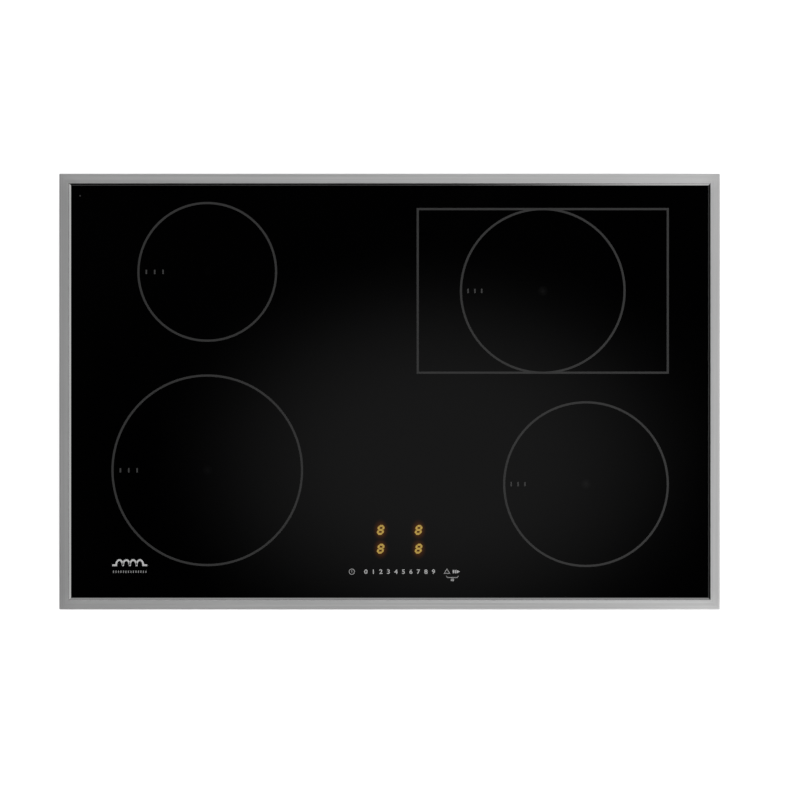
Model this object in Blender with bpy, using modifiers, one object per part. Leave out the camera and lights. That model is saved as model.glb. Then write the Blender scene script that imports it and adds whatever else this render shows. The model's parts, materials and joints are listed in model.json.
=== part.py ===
"""Built-in induction cooktop, modelled as an assembly of separate parts.

Metres, +Z up, +Y towards the back of the worktop. The origin is under the middle of the casing,
at the height of the casing's feet. Run with: blender --background --python part.py
"""

import math

import bmesh
import bpy
from mathutils import Matrix, Vector

# Driving dimensions ---------------------------------------------------------------------------
GAP = 0.0003  # between pieces that touch

FRAME_WIDTH = 0.764
FRAME_DEPTH = 0.504
FRAME_BAND = 0.0136  # width of the steel band seen from above
FRAME_RISE = 0.003  # top of the band above the worktop
FRAME_SHEET = 0.001
FRAME_CORNER = 0.0012
FRAME_ROUNDING = 0.0007
LIP_SLOPE = 0.0028  # width of the slope at the band's inner edge
LIP_DROP = 0.0009
CASING_DEPTH = 0.048  # feet to worktop
GLASS_THICKNESS = 0.004
GLASS_UNDER_BAND = 0.0032
GLASS_CORNER = 0.002
BOND_THICKNESS = 0.0004
BOND_INSET = 0.0006
SEAL_WIDTH = 0.007
SEAL_OFFSET = 0.0016  # frame edge to seal edge

CASING_INSET = 0.013  # frame edge to casing wall
PAN_SHEET = 0.0008
PAN_CORNER = 0.004
FOOT_HEIGHT = 0.002
FOOT_RADIUS = 0.011
FOOT_INSET = 0.045  # casing wall to foot centre
PAN_TOP_BELOW_GLASS = 0.0025
ANGLE_SHEET = 0.001
ANGLE_LEG = 0.010
ANGLE_DROP = 0.015

MICA_SHEET = 0.0004
WINDING_HEIGHT = 0.0029
CARRIER_SHEET = 0.0025
FERRITE_HEIGHT = 0.004
SPRING_LENGTH = 0.0112  # fitted, pressed between deck and carrier
DECK_SHEET = 0.001
DECK_INSET = 0.009  # casing wall to deck edge
DECK_LEG_WIDTH = 0.060

WINDING_INSET = 0.008  # printed zone edge to outer turn
WINDING_HOLE = 0.024
CARRIER_RIM = 0.004
HUB_BORE = 0.009
HUB_WALL = 0.003
HUB_DROP = 0.0043  # hub below the carrier sheet
FERRITE_BARS = 9
FERRITE_WIDTH = 0.010
FERRITE_RING = (0.014, 0.022)
SPRING_INSET = 0.030  # outer turn to spring axis
SPRING_RADIUS = 0.005
SPRING_WIRE = 0.0005  # wire radius
SPRING_TURNS = 3
SPRING_POINTS = 6  # a turn
PIP_RADIUS = 0.0025
PIP_HEIGHT = 0.003
SENSOR_HEAD = 0.006
SENSOR_STEM = 0.004
SENSOR_LENGTH = 0.0117
SENSOR_HEAD_HEIGHT = 0.0021
ROASTER_LENGTH = 0.290
ROASTER_CORNER = 0.040
ROASTER_MICA_WIDTH = 0.223
SIDE_WINDING_WIDTH = 0.046
SIDE_WINDING_BAND = 0.014
SIDE_WINDING_MARGIN = 0.004  # zone end to side winding
SIDE_WINDING_SHORTER = 0.020  # than the zone is deep

# name, side in x, side in y, printed diameter, frame edge to zone edge in x and in y
ZONES = (
    ("front_left", -1, -1, 0.220, 0.061, 0.051),
    ("rear_left", -1, 1, 0.160, 0.091, 0.0335),
    ("front_right", 1, -1, 0.190, 0.060, 0.050),
)
ROASTER = ("rear_right", 1, 1, 0.190, 0.060, 0.0405)

FAN_RADIUS = 0.042
FAN_WALL = 0.0015
FAN_UNDER_DECK = 0.0034  # blower top to deck
FAN_INLET = 0.027
FAN_X = 0.062
FAN_OUTLET_WIDTH = 0.032
FAN_OUTLET_REACH = 0.052
BOSS_RADIUS = 0.009
BOSS_LENGTH = 0.0085
ROTOR_RADIUS = 0.036
ROTOR_PLATE = 0.0012
ROTOR_CUP = 0.0025  # wall of the hub cup
ROTOR_CLEARANCE = 0.0014
BLADES = 16
BLADE_CHORD = 0.009
BLADE_THICKNESS = 0.0012
BLADE_TILT = math.radians(38)

BOARD_SHEET = 0.0016
BOARD_LIFT = 0.005
POWER_BOARD = (0.190, 0.130)
POWER_BOARD_X = 0.222
POWER_BOARD_Y = -0.013
SINK_LENGTH = 0.120
SINK_WIDTH = 0.036
SINK_BASE = 0.003
SINK_HEIGHT = 0.0135
SINK_FINS = 9
FIN_THICKNESS = 0.0012
FILTER_BOARD = (0.110, 0.060)
TERMINAL_X = -0.250
TERMINAL_HOLE = (0.050, 0.046)
TERMINAL_BLOCK = (0.070, 0.020, 0.013)
TERMINAL_FOOT = 0.008
TERMINAL_LIFT = 0.006
COVER_SHEET = 0.0012
COVER_LAP = 0.006
INLET_WIDTH = 0.026
INLET_HEIGHT = 0.018
INLET_RADIUS = 0.0065

UI_SIZE = (0.162, 0.080)
UI_X = 0.0165
UI_CLEARANCE = 0.0019  # support frame to tray
UI_WALL = 0.0015
UI_TRAY_HEIGHT = 0.0087
UI_BOARD_LIFT = 0.002
DISPLAY_SIZE = (0.062, 0.040, 0.0046)
DISPLAY_X = 0.0115
DISPLAY_FRONT = 0.0809  # frame edge to the middle of the four digits
DIGIT_PITCH = (0.0434, 0.0221)
DIGIT_WINDOW = (0.011, 0.015)
TOUCH_FRONT = 0.044  # frame edge to the row of touch fields
TOUCH_STRIP = (0.006, 0.0015)
TOUCH_PAD = 0.0026
TOUCH_FIRST = -0.0276  # x of field 0
TOUCH_PITCH = 0.00872
TOUCH_FIELDS = 10
TOUCH_EXTRA = (-0.0436, 0.0662, 0.0778)

CLIP_WIDTH = 0.024
CLIP_SHEET = 0.0008
CLIP_Y = 0.150
CLIP_EYE = 0.0012
CLIP_EYE_OUT = 0.0028  # casing wall to hinge axis
CLIP_EYE_Z = 0.011
CLIP_REACH = 0.0098  # casing wall to the bulge
CLIP_BULGE_Z = 0.030
CLIP_TAIL = (0.0072, 0.036)
EAR_SHEET = 0.002
EAR_SIDE = 0.005

SLOT_WIDTH = 0.0035
SLOT_PITCH = 0.008
INTAKE_SLOTS = 7
SIDE_SLOTS = 9
SIDE_SLOT_HEIGHT = 0.014
REAR_SLOTS = 12

ROUND_STEPS = 32
SMALL_STEPS = 12
SHARP_ANGLE = math.radians(35)

# Component tables: x, y, size x, size y, height from the board's low corner, and x, y, radius, height
POST_INSET = 0.006
POST_SIDE = 0.005
SINK_START_X = 0.150
FILTER_GAP = 0.012
TERMINAL_PITCH = 0.011
TERMINAL_PORT = 0.005
POWER_BLOCKS = (
    (0.012, 0.016, 0.032, 0.020, 0.013),
    (0.050, 0.014, 0.018, 0.024, 0.011),
    (0.110, 0.012, 0.026, 0.014, 0.010),
    (0.150, 0.012, 0.022, 0.010, 0.008),
    (0.014, 0.066, 0.060, 0.010, 0.009),
)
POWER_CANS = (
    (0.085, 0.024, 0.009, 0.014),
    (0.160, 0.036, 0.008, 0.013),
    (0.030, 0.052, 0.007, 0.013),
)
FILTER_BLOCKS = (
    (0.012, 0.014, 0.026, 0.011, 0.014),
    (0.012, 0.034, 0.026, 0.009, 0.012),
    (0.082, 0.014, 0.010, 0.030, 0.010),
)
FILTER_CANS = ((0.060, 0.030, 0.013, 0.013),)

# Levels and sizes that follow -----------------------------------------------------------------
FRAME_TOP_Z = CASING_DEPTH + FRAME_RISE
BAND_UNDER_Z = FRAME_TOP_Z - FRAME_SHEET
GLASS_TOP_Z = BAND_UNDER_Z - BOND_THICKNESS - 2 * GAP
GLASS_UNDER_Z = GLASS_TOP_Z - GLASS_THICKNESS
MICA_Z = GLASS_UNDER_Z - GAP - MICA_SHEET
WINDING_Z = MICA_Z - GAP - WINDING_HEIGHT
CARRIER_Z = WINDING_Z - GAP - CARRIER_SHEET
RIM_TOP_Z = MICA_Z - 0.0008
FERRITE_Z = CARRIER_Z - GAP - FERRITE_HEIGHT
SPRING_Z = CARRIER_Z - GAP - SPRING_LENGTH
DECK_Z = SPRING_Z - GAP - DECK_SHEET
PAN_FLOOR_Z = FOOT_HEIGHT + PAN_SHEET
PAN_TOP_Z = GLASS_UNDER_Z - PAN_TOP_BELOW_GLASS
BOARD_Z = PAN_FLOOR_Z + BOARD_LIFT
BOARD_TOP_Z = BOARD_Z + BOARD_SHEET
FAN_HEIGHT = DECK_Z - FAN_UNDER_DECK - PAN_FLOOR_Z - GAP
CASING_WIDTH = FRAME_WIDTH - 2 * CASING_INSET
CASING_LENGTH = FRAME_DEPTH - 2 * CASING_INSET
GLASS_INSET = FRAME_BAND - GLASS_UNDER_BAND
UI_TOP_Z = GLASS_UNDER_Z - GAP
SUPPORT_INSET = CASING_INSET + PAN_SHEET + GAP
UI_FRONT = SUPPORT_INSET + ANGLE_LEG + UI_CLEARANCE
UI_Y = -FRAME_DEPTH / 2 + UI_FRONT + UI_SIZE[1] / 2


# Scene helpers --------------------------------------------------------------------------------
def clear_scene():
    for old in list(bpy.data.objects):
        bpy.data.objects.remove(old, do_unlink=True)


def new_collection(name):
    made = bpy.data.collections.new(name)
    bpy.context.scene.collection.children.link(made)
    return made


def material(name, colour, roughness, metallic=0.0):
    made = bpy.data.materials.get(name) or bpy.data.materials.new(name)
    made.use_nodes = True
    shader = made.node_tree.nodes["Principled BSDF"]
    shader.inputs["Base Color"].default_value = (*colour, 1)
    shader.inputs["Roughness"].default_value = roughness
    shader.inputs["Metallic"].default_value = metallic
    return made


def place(obj, collection, finish=None, parent=None):
    """Moves an object into its collection, shades it, and gives it its material and its parent."""
    for holder in list(obj.users_collection):
        holder.objects.unlink(obj)
    collection.objects.link(obj)
    if finish:
        obj.data.materials.clear()
        obj.data.materials.append(finish)
    obj.parent = parent
    if obj.type == "MESH":
        obj.data.shade_smooth()
        obj.data.set_sharp_from_angle(angle=SHARP_ANGLE)
    return obj


def as_helper(obj):
    place(obj, HELPERS, parent=obj.parent)
    obj.hide_render = True
    obj.display_type = "WIRE"
    return obj


def empty(name, location):
    made = bpy.data.objects.new(name, None)
    made.location = location
    PARTS.objects.link(made)
    return made


def boolean(obj, other, operation):
    """Cuts other from obj, or joins it on. Other becomes a helper."""
    as_helper(other)
    step = obj.modifiers.new(operation.title(), "BOOLEAN")
    step.operation = operation
    step.object = other
    step.solver = "EXACT"
    return obj


def cut(obj, other):
    return boolean(obj, other, "DIFFERENCE")


def join(obj, other):
    return boolean(obj, other, "UNION")


# Shapes ---------------------------------------------------------------------------------------
def box(name, low, high):
    """A box between two corners."""
    low, high = Vector(low), Vector(high)
    bpy.ops.mesh.primitive_cube_add(size=1, location=(low + high) / 2)
    obj = bpy.context.object
    obj.name = name
    obj.data.transform(Matrix.Diagonal((*(high - low), 1)))
    return obj


def cylinder(name, radius, low_z, high_z, x=0.0, y=0.0, steps=SMALL_STEPS):
    bpy.ops.mesh.primitive_cylinder_add(
        vertices=steps, radius=radius, depth=high_z - low_z, location=(x, y, (low_z + high_z) / 2)
    )
    obj = bpy.context.object
    obj.name = name
    return obj


def turned(name, profile, steps=ROUND_STEPS, closed=True):
    """A profile of (radius, z) points turned about Z. It runs down its outer side."""
    mesh = bpy.data.meshes.new(name)
    points = [(radius, 0, z) for radius, z in profile]
    edges = [(i, i + 1) for i in range(len(points) - 1)]
    if closed:
        edges.append((len(points) - 1, 0))
    mesh.from_pydata(points, edges, [])
    obj = bpy.data.objects.new(name, mesh)
    bpy.context.scene.collection.objects.link(obj)
    screw = obj.modifiers.new("Turn", "SCREW")
    screw.steps = screw.render_steps = steps
    screw.use_merge_vertices = True
    screw.merge_threshold = 0.00001
    return obj


def ring(name, inner, outer, low_z, high_z, steps=ROUND_STEPS):
    return turned(name, [(inner, high_z), (outer, high_z), (outer, low_z), (inner, low_z)], steps)


def rounded_rectangle(width, length, radius, steps=4, x=0.0, y=0.0):
    """Corner points of a rectangle with round corners, anticlockwise."""
    points = []
    for quarter, (sx, sy) in enumerate(((1, 1), (-1, 1), (-1, -1), (1, -1))):
        centre_x = x + sx * (width / 2 - radius)
        centre_y = y + sy * (length / 2 - radius)
        for i in range(steps + 1):
            angle = (quarter + i / steps) * math.pi / 2
            points.append((centre_x + radius * math.cos(angle), centre_y + radius * math.sin(angle)))
    return points


def circle(radius, steps=ROUND_STEPS, x=0.0, y=0.0):
    return [
        (x + radius * math.cos(2 * math.pi * i / steps), y + radius * math.sin(2 * math.pi * i / steps))
        for i in range(steps)
    ]


def plate(name, outlines, low_z, high_z):
    """A flat piece as a mesh: the first outline, less the others, from low_z to high_z."""
    curve = bpy.data.curves.new(name, "CURVE")
    curve.dimensions = "2D"
    curve.fill_mode = "BOTH"
    curve.extrude = (high_z - low_z) / 2
    for outline in outlines:
        spline = curve.splines.new("POLY")
        spline.points.add(len(outline) - 1)
        for point, (x, y) in zip(spline.points, outline):
            point.co = (x, y, 0, 1)
        spline.use_cyclic_u = True
    flat = bpy.data.objects.new(name + "_outline", curve)
    flat.location = (0, 0, (low_z + high_z) / 2)
    bpy.context.scene.collection.objects.link(flat)
    bpy.context.view_layer.update()
    mesh = bpy.data.meshes.new_from_object(flat.evaluated_get(bpy.context.evaluated_depsgraph_get()))
    form = bmesh.new()
    form.from_mesh(mesh)
    bmesh.ops.remove_doubles(form, verts=form.verts, dist=0.000001)
    bmesh.ops.recalc_face_normals(form, faces=form.faces)
    form.to_mesh(mesh)
    form.free()
    obj = bpy.data.objects.new(name, mesh)
    obj.matrix_world = flat.matrix_world
    bpy.context.scene.collection.objects.link(obj)
    bpy.data.objects.remove(flat, do_unlink=True)
    return obj


def boxes(name, corners):
    """Separate boxes in one mesh, each given by its low and high corner."""
    form = bmesh.new()
    for low, high in corners:
        low, high = Vector(low), Vector(high)
        made = bmesh.ops.create_cube(form, size=1)["verts"]
        bmesh.ops.scale(form, vec=high - low, verts=made)
        bmesh.ops.translate(form, vec=(low + high) / 2, verts=made)
    mesh = bpy.data.meshes.new(name)
    form.to_mesh(mesh)
    form.free()
    obj = bpy.data.objects.new(name, mesh)
    bpy.context.scene.collection.objects.link(obj)
    return obj


def rectangular_ring(name, profile, width, length, corner):
    """A profile of (inset, z) points swept round a rectangle with mitred, slightly round corners."""
    form = bmesh.new()
    loops = []
    for inset, z in profile:
        radius = max(corner - inset, 0.0002)
        outline = rounded_rectangle(width - 2 * inset, length - 2 * inset, radius, steps=3)
        loops.append([form.verts.new((x, y, z)) for x, y in outline])
    for here, following in zip(loops, loops[1:] + loops[:1]):
        for i in range(len(here)):
            j = (i + 1) % len(here)
            form.faces.new((here[i], here[j], following[j], following[i]))
    bmesh.ops.recalc_face_normals(form, faces=form.faces)
    mesh = bpy.data.meshes.new(name)
    form.to_mesh(mesh)
    form.free()
    obj = bpy.data.objects.new(name, mesh)
    bpy.context.scene.collection.objects.link(obj)
    return obj


# Top: frame, glass and what holds them ------------------------------------------------------------
def make_frame():
    """Folded steel band: outer rim, flat top, and a slope that ends in a hem over the glass."""
    lip_in = FRAME_BAND - FRAME_SHEET
    lip_under_z = GLASS_TOP_Z + GAP
    rounding = [
        (
            FRAME_ROUNDING * (1 - math.cos(angle)),
            FRAME_TOP_Z - FRAME_ROUNDING * (1 - math.sin(angle)),
        )
        for angle in (0, math.pi / 6, math.pi / 3, math.pi / 2)
    ]
    profile = [
        (0, CASING_DEPTH + GAP),
        *rounding,
        (FRAME_BAND - LIP_SLOPE, FRAME_TOP_Z),
        (FRAME_BAND, FRAME_TOP_Z - LIP_DROP),
        (FRAME_BAND, lip_under_z),
        (lip_in, lip_under_z),
        (lip_in, BAND_UNDER_Z),
        (FRAME_SHEET, BAND_UNDER_Z),
        (FRAME_SHEET, CASING_DEPTH + GAP),
    ]
    frame = rectangular_ring("steel_frame", profile, FRAME_WIDTH, FRAME_DEPTH, FRAME_CORNER)
    place(frame, PARTS, STEEL)

    def flat_ring(name, inset, width, low_z, high_z, finish):
        profile = [(inset, low_z), (inset, high_z), (inset + width, high_z), (inset + width, low_z)]
        made = rectangular_ring(name, profile, FRAME_WIDTH, FRAME_DEPTH, FRAME_CORNER)
        place(made, PARTS, finish)

    flat_ring("worktop_seal", SEAL_OFFSET, SEAL_WIDTH, CASING_DEPTH, BAND_UNDER_Z - GAP, FOAM)
    bond_width = lip_in - GLASS_INSET - 2 * BOND_INSET
    bond_z = GLASS_TOP_Z + GAP
    flat_ring(
        "glass_bond", GLASS_INSET + BOND_INSET, bond_width, bond_z, bond_z + BOND_THICKNESS, SILICONE
    )


def make_glass():
    outline = rounded_rectangle(
        FRAME_WIDTH - 2 * GLASS_INSET, FRAME_DEPTH - 2 * GLASS_INSET, GLASS_CORNER
    )
    place(plate("glass_panel", [outline], GLASS_UNDER_Z, GLASS_TOP_Z), PARTS, GLASS)


def make_support_frame():
    """Angle-section ring bonded under the glass. The pan is screwed to its upright leg."""
    inset = SUPPORT_INSET
    top_z = GLASS_UNDER_Z - GAP
    profile = [
        (inset, top_z - ANGLE_DROP),
        (inset, top_z),
        (inset + ANGLE_LEG, top_z),
        (inset + ANGLE_LEG, top_z - ANGLE_SHEET),
        (inset + ANGLE_SHEET, top_z - ANGLE_SHEET),
        (inset + ANGLE_SHEET, top_z - ANGLE_DROP),
    ]
    corner = CASING_INSET + PAN_CORNER
    made = rectangular_ring("support_frame", profile, FRAME_WIDTH, FRAME_DEPTH, corner)
    place(made, PARTS, GALVANISED)


# Bottom: the pan with its vents, feet and clip ears ---------------------------------------------
def intake_slots():
    """Parallel slots under each fan, as long as the intake is wide there."""
    found = []
    for side in (-1, 1):
        for i in range(INTAKE_SLOTS):
            across = (i - (INTAKE_SLOTS - 1) / 2) * SLOT_PITCH
            half = math.sqrt(FAN_INLET**2 - across**2)
            x = side * FAN_X + across
            low = (x - SLOT_WIDTH / 2, -half, 0)
            high = (x + SLOT_WIDTH / 2, half, PAN_FLOOR_Z + PAN_SHEET)
            found.append((low, high))
    return found


def exhaust_slots():
    """Rows of upright slots in the two side walls and in the rear wall."""
    found = []
    low_z = BOARD_TOP_Z
    high_z = low_z + SIDE_SLOT_HEIGHT
    for side in (-1, 1):
        wall = side * CASING_WIDTH / 2
        for i in range(SIDE_SLOTS):
            y = POWER_BOARD_Y + (i - (SIDE_SLOTS - 1) / 2) * SLOT_PITCH
            low = (wall - PAN_SHEET * 2, y - SLOT_WIDTH / 2, low_z)
            found.append((low, (wall + PAN_SHEET * 2, y + SLOT_WIDTH / 2, high_z)))
    wall = CASING_LENGTH / 2
    for i in range(REAR_SLOTS):
        x = POWER_BOARD_X + (i - (REAR_SLOTS - 1) / 2) * SLOT_PITCH
        low = (x - SLOT_WIDTH / 2, wall - PAN_SHEET * 2, low_z)
        found.append((low, (x + SLOT_WIDTH / 2, wall + PAN_SHEET * 2, high_z)))
    return found


def terminal_cutout():
    """Hole under the terminal block and the notch above it for the cable inlet."""
    wall = CASING_LENGTH / 2
    half_hole = TERMINAL_HOLE[0] / 2
    half_inlet = INLET_WIDTH / 2
    notch_top = FOOT_HEIGHT + INLET_HEIGHT + GAP
    hole_low = (TERMINAL_X - half_hole, wall - TERMINAL_HOLE[1], 0)
    hole_high = (TERMINAL_X + half_hole, wall - PAN_CORNER, PAN_FLOOR_Z + PAN_SHEET)
    notch_low = (TERMINAL_X - half_inlet, wall - 2 * PAN_CORNER, -PAN_SHEET)
    notch_high = (TERMINAL_X + half_inlet, wall + PAN_SHEET, notch_top)
    return [(hole_low, hole_high), (notch_low, notch_high)]


def clip_ears():
    """Two ears a clip, which hold its eye off the side wall."""
    found = []
    half_width = CLIP_WIDTH / 2 + GAP
    for side in (-1, 1):
        wall = side * CASING_WIDTH / 2
        inner, outer = sorted((wall - side * PAN_SHEET / 2, wall + side * EAR_SIDE))
        for clip_y in (-CLIP_Y, CLIP_Y):
            for end in (-1, 1):
                near = clip_y + end * half_width
                low_y, high_y = sorted((near, near + end * EAR_SHEET))
                low = (inner, low_y, CLIP_EYE_Z - EAR_SIDE / 2)
                found.append((low, (outer, high_y, CLIP_EYE_Z + EAR_SIDE / 2)))
    return found


def make_base_pan():
    outer = rounded_rectangle(CASING_WIDTH, CASING_LENGTH, PAN_CORNER)
    inner = rounded_rectangle(
        CASING_WIDTH - 2 * PAN_SHEET, CASING_LENGTH - 2 * PAN_SHEET, PAN_CORNER - PAN_SHEET
    )
    pan = plate("base_pan", [outer], FOOT_HEIGHT, PAN_TOP_Z)
    cut(pan, plate("pan_inside", [inner], PAN_FLOOR_Z, PAN_TOP_Z + PAN_SHEET))
    for sx in (-1, 1):
        for sy in (-1, 1):
            foot = cylinder(
                "pan_foot",
                FOOT_RADIUS,
                0,
                FOOT_HEIGHT + PAN_SHEET / 2,
                sx * (CASING_WIDTH / 2 - FOOT_INSET),
                sy * (CASING_LENGTH / 2 - FOOT_INSET),
            )
            join(pan, foot)
    join(pan, boxes("clip_ears", clip_ears()))
    cut(pan, boxes("vents", intake_slots() + exhaust_slots()))
    for low, high in terminal_cutout():
        cut(pan, box("terminal_cutout", low, high))
    place(pan, PARTS, GALVANISED)


def make_coil_deck(spring_points):
    """Aluminium shelf that carries the coils: a sheet on two folded legs, with a pip in each spring."""
    half_x = CASING_WIDTH / 2 - DECK_INSET
    half_y = CASING_LENGTH / 2 - DECK_INSET
    deck = box("coil_deck", (-half_x, -half_y, DECK_Z), (half_x, half_y, DECK_Z + DECK_SHEET))
    legs = []
    for side_x in (-1, 1):
        for side_y in (-1, 1):
            x_in, x_out = sorted((side_x * half_x, side_x * (half_x - DECK_SHEET)))
            y_in, y_out = sorted((side_y * half_y, side_y * (half_y - DECK_LEG_WIDTH)))
            legs.append(((x_in, y_in, PAN_FLOOR_Z + GAP), (x_out, y_out, DECK_Z + DECK_SHEET / 2)))
    join(deck, boxes("deck_legs", legs))
    pips = boxes("deck_pips", [])
    form = bmesh.new()
    for x, y in spring_points:
        centre_z = DECK_Z + DECK_SHEET / 2 + PIP_HEIGHT / 2
        bmesh.ops.create_cone(
            form,
            cap_ends=True,
            segments=8,
            radius1=PIP_RADIUS,
            radius2=PIP_RADIUS * 0.8,
            depth=PIP_HEIGHT,
            matrix=Matrix.Translation((x, y, centre_z)),
        )
    form.to_mesh(pips.data)
    form.free()
    join(deck, pips)
    place(deck, PARTS, ALUMINIUM)


# Coils -----------------------------------------------------------------------------------------
def zone_centre(zone, half_x):
    _, side_x, side_y, diameter, margin_x, margin_y = zone
    x = side_x * (FRAME_WIDTH / 2 - margin_x - half_x)
    return x, side_y * (FRAME_DEPTH / 2 - margin_y - diameter / 2)


def outer_turn(diameter):
    return diameter / 2 - WINDING_INSET


def spring_places(diameter):
    """Three springs round the coil, each halfway between two ferrite bars."""
    radius = outer_turn(diameter) - SPRING_INSET
    first = math.pi / FERRITE_BARS
    angles = [first + i * 2 * math.pi / 3 for i in range(3)]
    return [(radius * math.cos(angle), radius * math.sin(angle)) for angle in angles]


def make_carrier(name, diameter, parent):
    """Round coil carrier: a dish with a rim, and a hub that guides the temperature sensor."""
    rim_in = outer_turn(diameter) + CARRIER_RIM * 0.4
    rim_out = outer_turn(diameter) + CARRIER_RIM
    hub_out = HUB_BORE + HUB_WALL
    top_z = CARRIER_Z + CARRIER_SHEET
    profile = [
        (HUB_BORE, RIM_TOP_Z),
        (hub_out, RIM_TOP_Z),
        (hub_out, top_z),
        (rim_in, top_z),
        (rim_in, RIM_TOP_Z),
        (rim_out, RIM_TOP_Z),
        (rim_out, CARRIER_Z),
        (hub_out, CARRIER_Z),
        (hub_out, CARRIER_Z - HUB_DROP),
        (HUB_BORE, CARRIER_Z - HUB_DROP),
    ]
    place(turned("coil_carrier_" + name, profile), PARTS, CARRIER_PLASTIC, parent)


def make_roaster_carrier(name, diameter, parent):
    """Long coil carrier: a flat plate for the round winding and the two side windings."""
    outline = rounded_rectangle(ROASTER_LENGTH - CARRIER_RIM, diameter - CARRIER_RIM, ROASTER_CORNER, 6)
    sheet = plate(
        "coil_carrier_" + name, [outline, circle(HUB_BORE)], CARRIER_Z, CARRIER_Z + CARRIER_SHEET
    )
    place(sheet, PARTS, CARRIER_PLASTIC, parent)
    hub = ring("hub_" + name, HUB_BORE, HUB_BORE + HUB_WALL, CARRIER_Z - HUB_DROP, RIM_TOP_Z)
    hub.parent = parent
    join(sheet, hub)


def make_side_windings(name, diameter, parent):
    length = diameter - SIDE_WINDING_SHORTER
    reach = ROASTER_LENGTH / 2 - SIDE_WINDING_MARGIN - SIDE_WINDING_WIDTH / 2
    hole = SIDE_WINDING_WIDTH - 2 * SIDE_WINDING_BAND
    for side, word in ((-1, "left"), (1, "right")):
        x = side * reach
        outer = rounded_rectangle(SIDE_WINDING_WIDTH, length, SIDE_WINDING_WIDTH * 0.45, 6, x)
        inner = rounded_rectangle(hole, length - 2 * SIDE_WINDING_BAND, hole * 0.45, 6, x)
        made = plate(f"side_winding_{word}", [outer, inner], WINDING_Z, WINDING_Z + WINDING_HEIGHT)
        place(made, PARTS, COPPER, parent)


def make_ferrites(name, diameter, parent):
    """Ferrite bars under the carrier, held together by a potted ring."""
    ring_in, ring_out = FERRITE_RING
    high_z = FERRITE_Z + FERRITE_HEIGHT
    core = ring("ferrite_bars_" + name, ring_in, ring_out, FERRITE_Z, high_z, FERRITE_BARS * 4)
    place(core, PARTS, FERRITE, parent)
    bar_start = (ring_in + ring_out) / 2
    bar_end = outer_turn(diameter) - CARRIER_RIM
    form = bmesh.new()
    for i in range(FERRITE_BARS):
        made = bmesh.ops.create_cube(form, size=1)["verts"]
        bmesh.ops.scale(form, vec=(bar_end - bar_start, FERRITE_WIDTH, FERRITE_HEIGHT), verts=made)
        middle = ((bar_start + bar_end) / 2, 0, FERRITE_Z + FERRITE_HEIGHT / 2)
        bmesh.ops.translate(form, vec=middle, verts=made)
        turn = Matrix.Rotation(i * 2 * math.pi / FERRITE_BARS, 3, "Z")
        bmesh.ops.rotate(form, cent=(0, 0, 0), matrix=turn, verts=made)
    bars = boxes("bars_" + name, [])
    form.to_mesh(bars.data)
    form.free()
    bars.parent = parent
    join(core, bars)


def make_spring(name, x, y, parent):
    """Compression spring between the deck and the carrier."""
    count = SPRING_TURNS * SPRING_POINTS
    curve = bpy.data.curves.new(name, "CURVE")
    curve.dimensions = "3D"
    curve.bevel_depth = SPRING_WIRE
    curve.bevel_resolution = 0
    curve.use_fill_caps = True
    spline = curve.splines.new("POLY")
    spline.points.add(count)
    rise = SPRING_LENGTH - 2 * SPRING_WIRE
    for i, point in enumerate(spline.points):
        angle = 2 * math.pi * i / SPRING_POINTS
        px = x + SPRING_RADIUS * math.cos(angle)
        py = y + SPRING_RADIUS * math.sin(angle)
        point.co = (px, py, SPRING_Z + SPRING_WIRE + rise * i / count, 1)
    made = bpy.data.objects.new(name, curve)
    bpy.context.scene.collection.objects.link(made)
    place(made, PARTS, SPRING_STEEL, parent)


def make_sensor(name, parent):
    """Temperature sensor that is pressed up against the glass through the mica sheet."""
    top_z = GLASS_UNDER_Z - GAP
    neck_z = top_z - SENSOR_HEAD_HEIGHT
    foot_z = top_z - SENSOR_LENGTH
    profile = [
        (0, top_z),
        (SENSOR_HEAD, top_z),
        (SENSOR_HEAD, neck_z),
        (SENSOR_STEM, neck_z),
        (SENSOR_STEM, foot_z),
        (0, foot_z),
    ]
    made = turned("temperature_sensor_" + name, profile, SMALL_STEPS, closed=False)
    place(made, PARTS, SENSOR_WHITE, parent)


def make_mica(name, outline, parent):
    """Insulating sheet between the winding and the glass, open over the sensor."""
    made = plate("mica_sheet_" + name, [outline, circle(HUB_BORE)], MICA_Z, MICA_Z + MICA_SHEET)
    place(made, PARTS, MICA, parent)


def make_coil(zone):
    """Everything that floats on one coil's springs. Returns where the springs stand."""
    name, _, _, diameter, _, _ = zone
    is_roaster = zone == ROASTER
    half_x = ROASTER_LENGTH / 2 if is_roaster else diameter / 2
    x, y = zone_centre(zone, half_x)
    middle = empty("coil_axis_" + name, (x, y, 0))
    if is_roaster:
        make_roaster_carrier(name, diameter, middle)
        make_side_windings(name, diameter, middle)
        sheet = rounded_rectangle(ROASTER_MICA_WIDTH, diameter, ROASTER_CORNER, 6)
    else:
        make_carrier(name, diameter, middle)
        sheet = circle(outer_turn(diameter) + CARRIER_RIM)
    winding = ring(
        "winding_" + name, WINDING_HOLE, outer_turn(diameter), WINDING_Z, WINDING_Z + WINDING_HEIGHT
    )
    place(winding, PARTS, COPPER, middle)
    make_ferrites(name, diameter, middle)
    make_mica(name, sheet, middle)
    make_sensor(name, middle)
    places = spring_places(diameter)
    for number, (spring_x, spring_y) in enumerate(places, 1):
        make_spring(f"coil_spring_{name}_{number}", spring_x, spring_y, middle)
    return [(x + spring_x, y + spring_y) for spring_x, spring_y in places]


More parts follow.
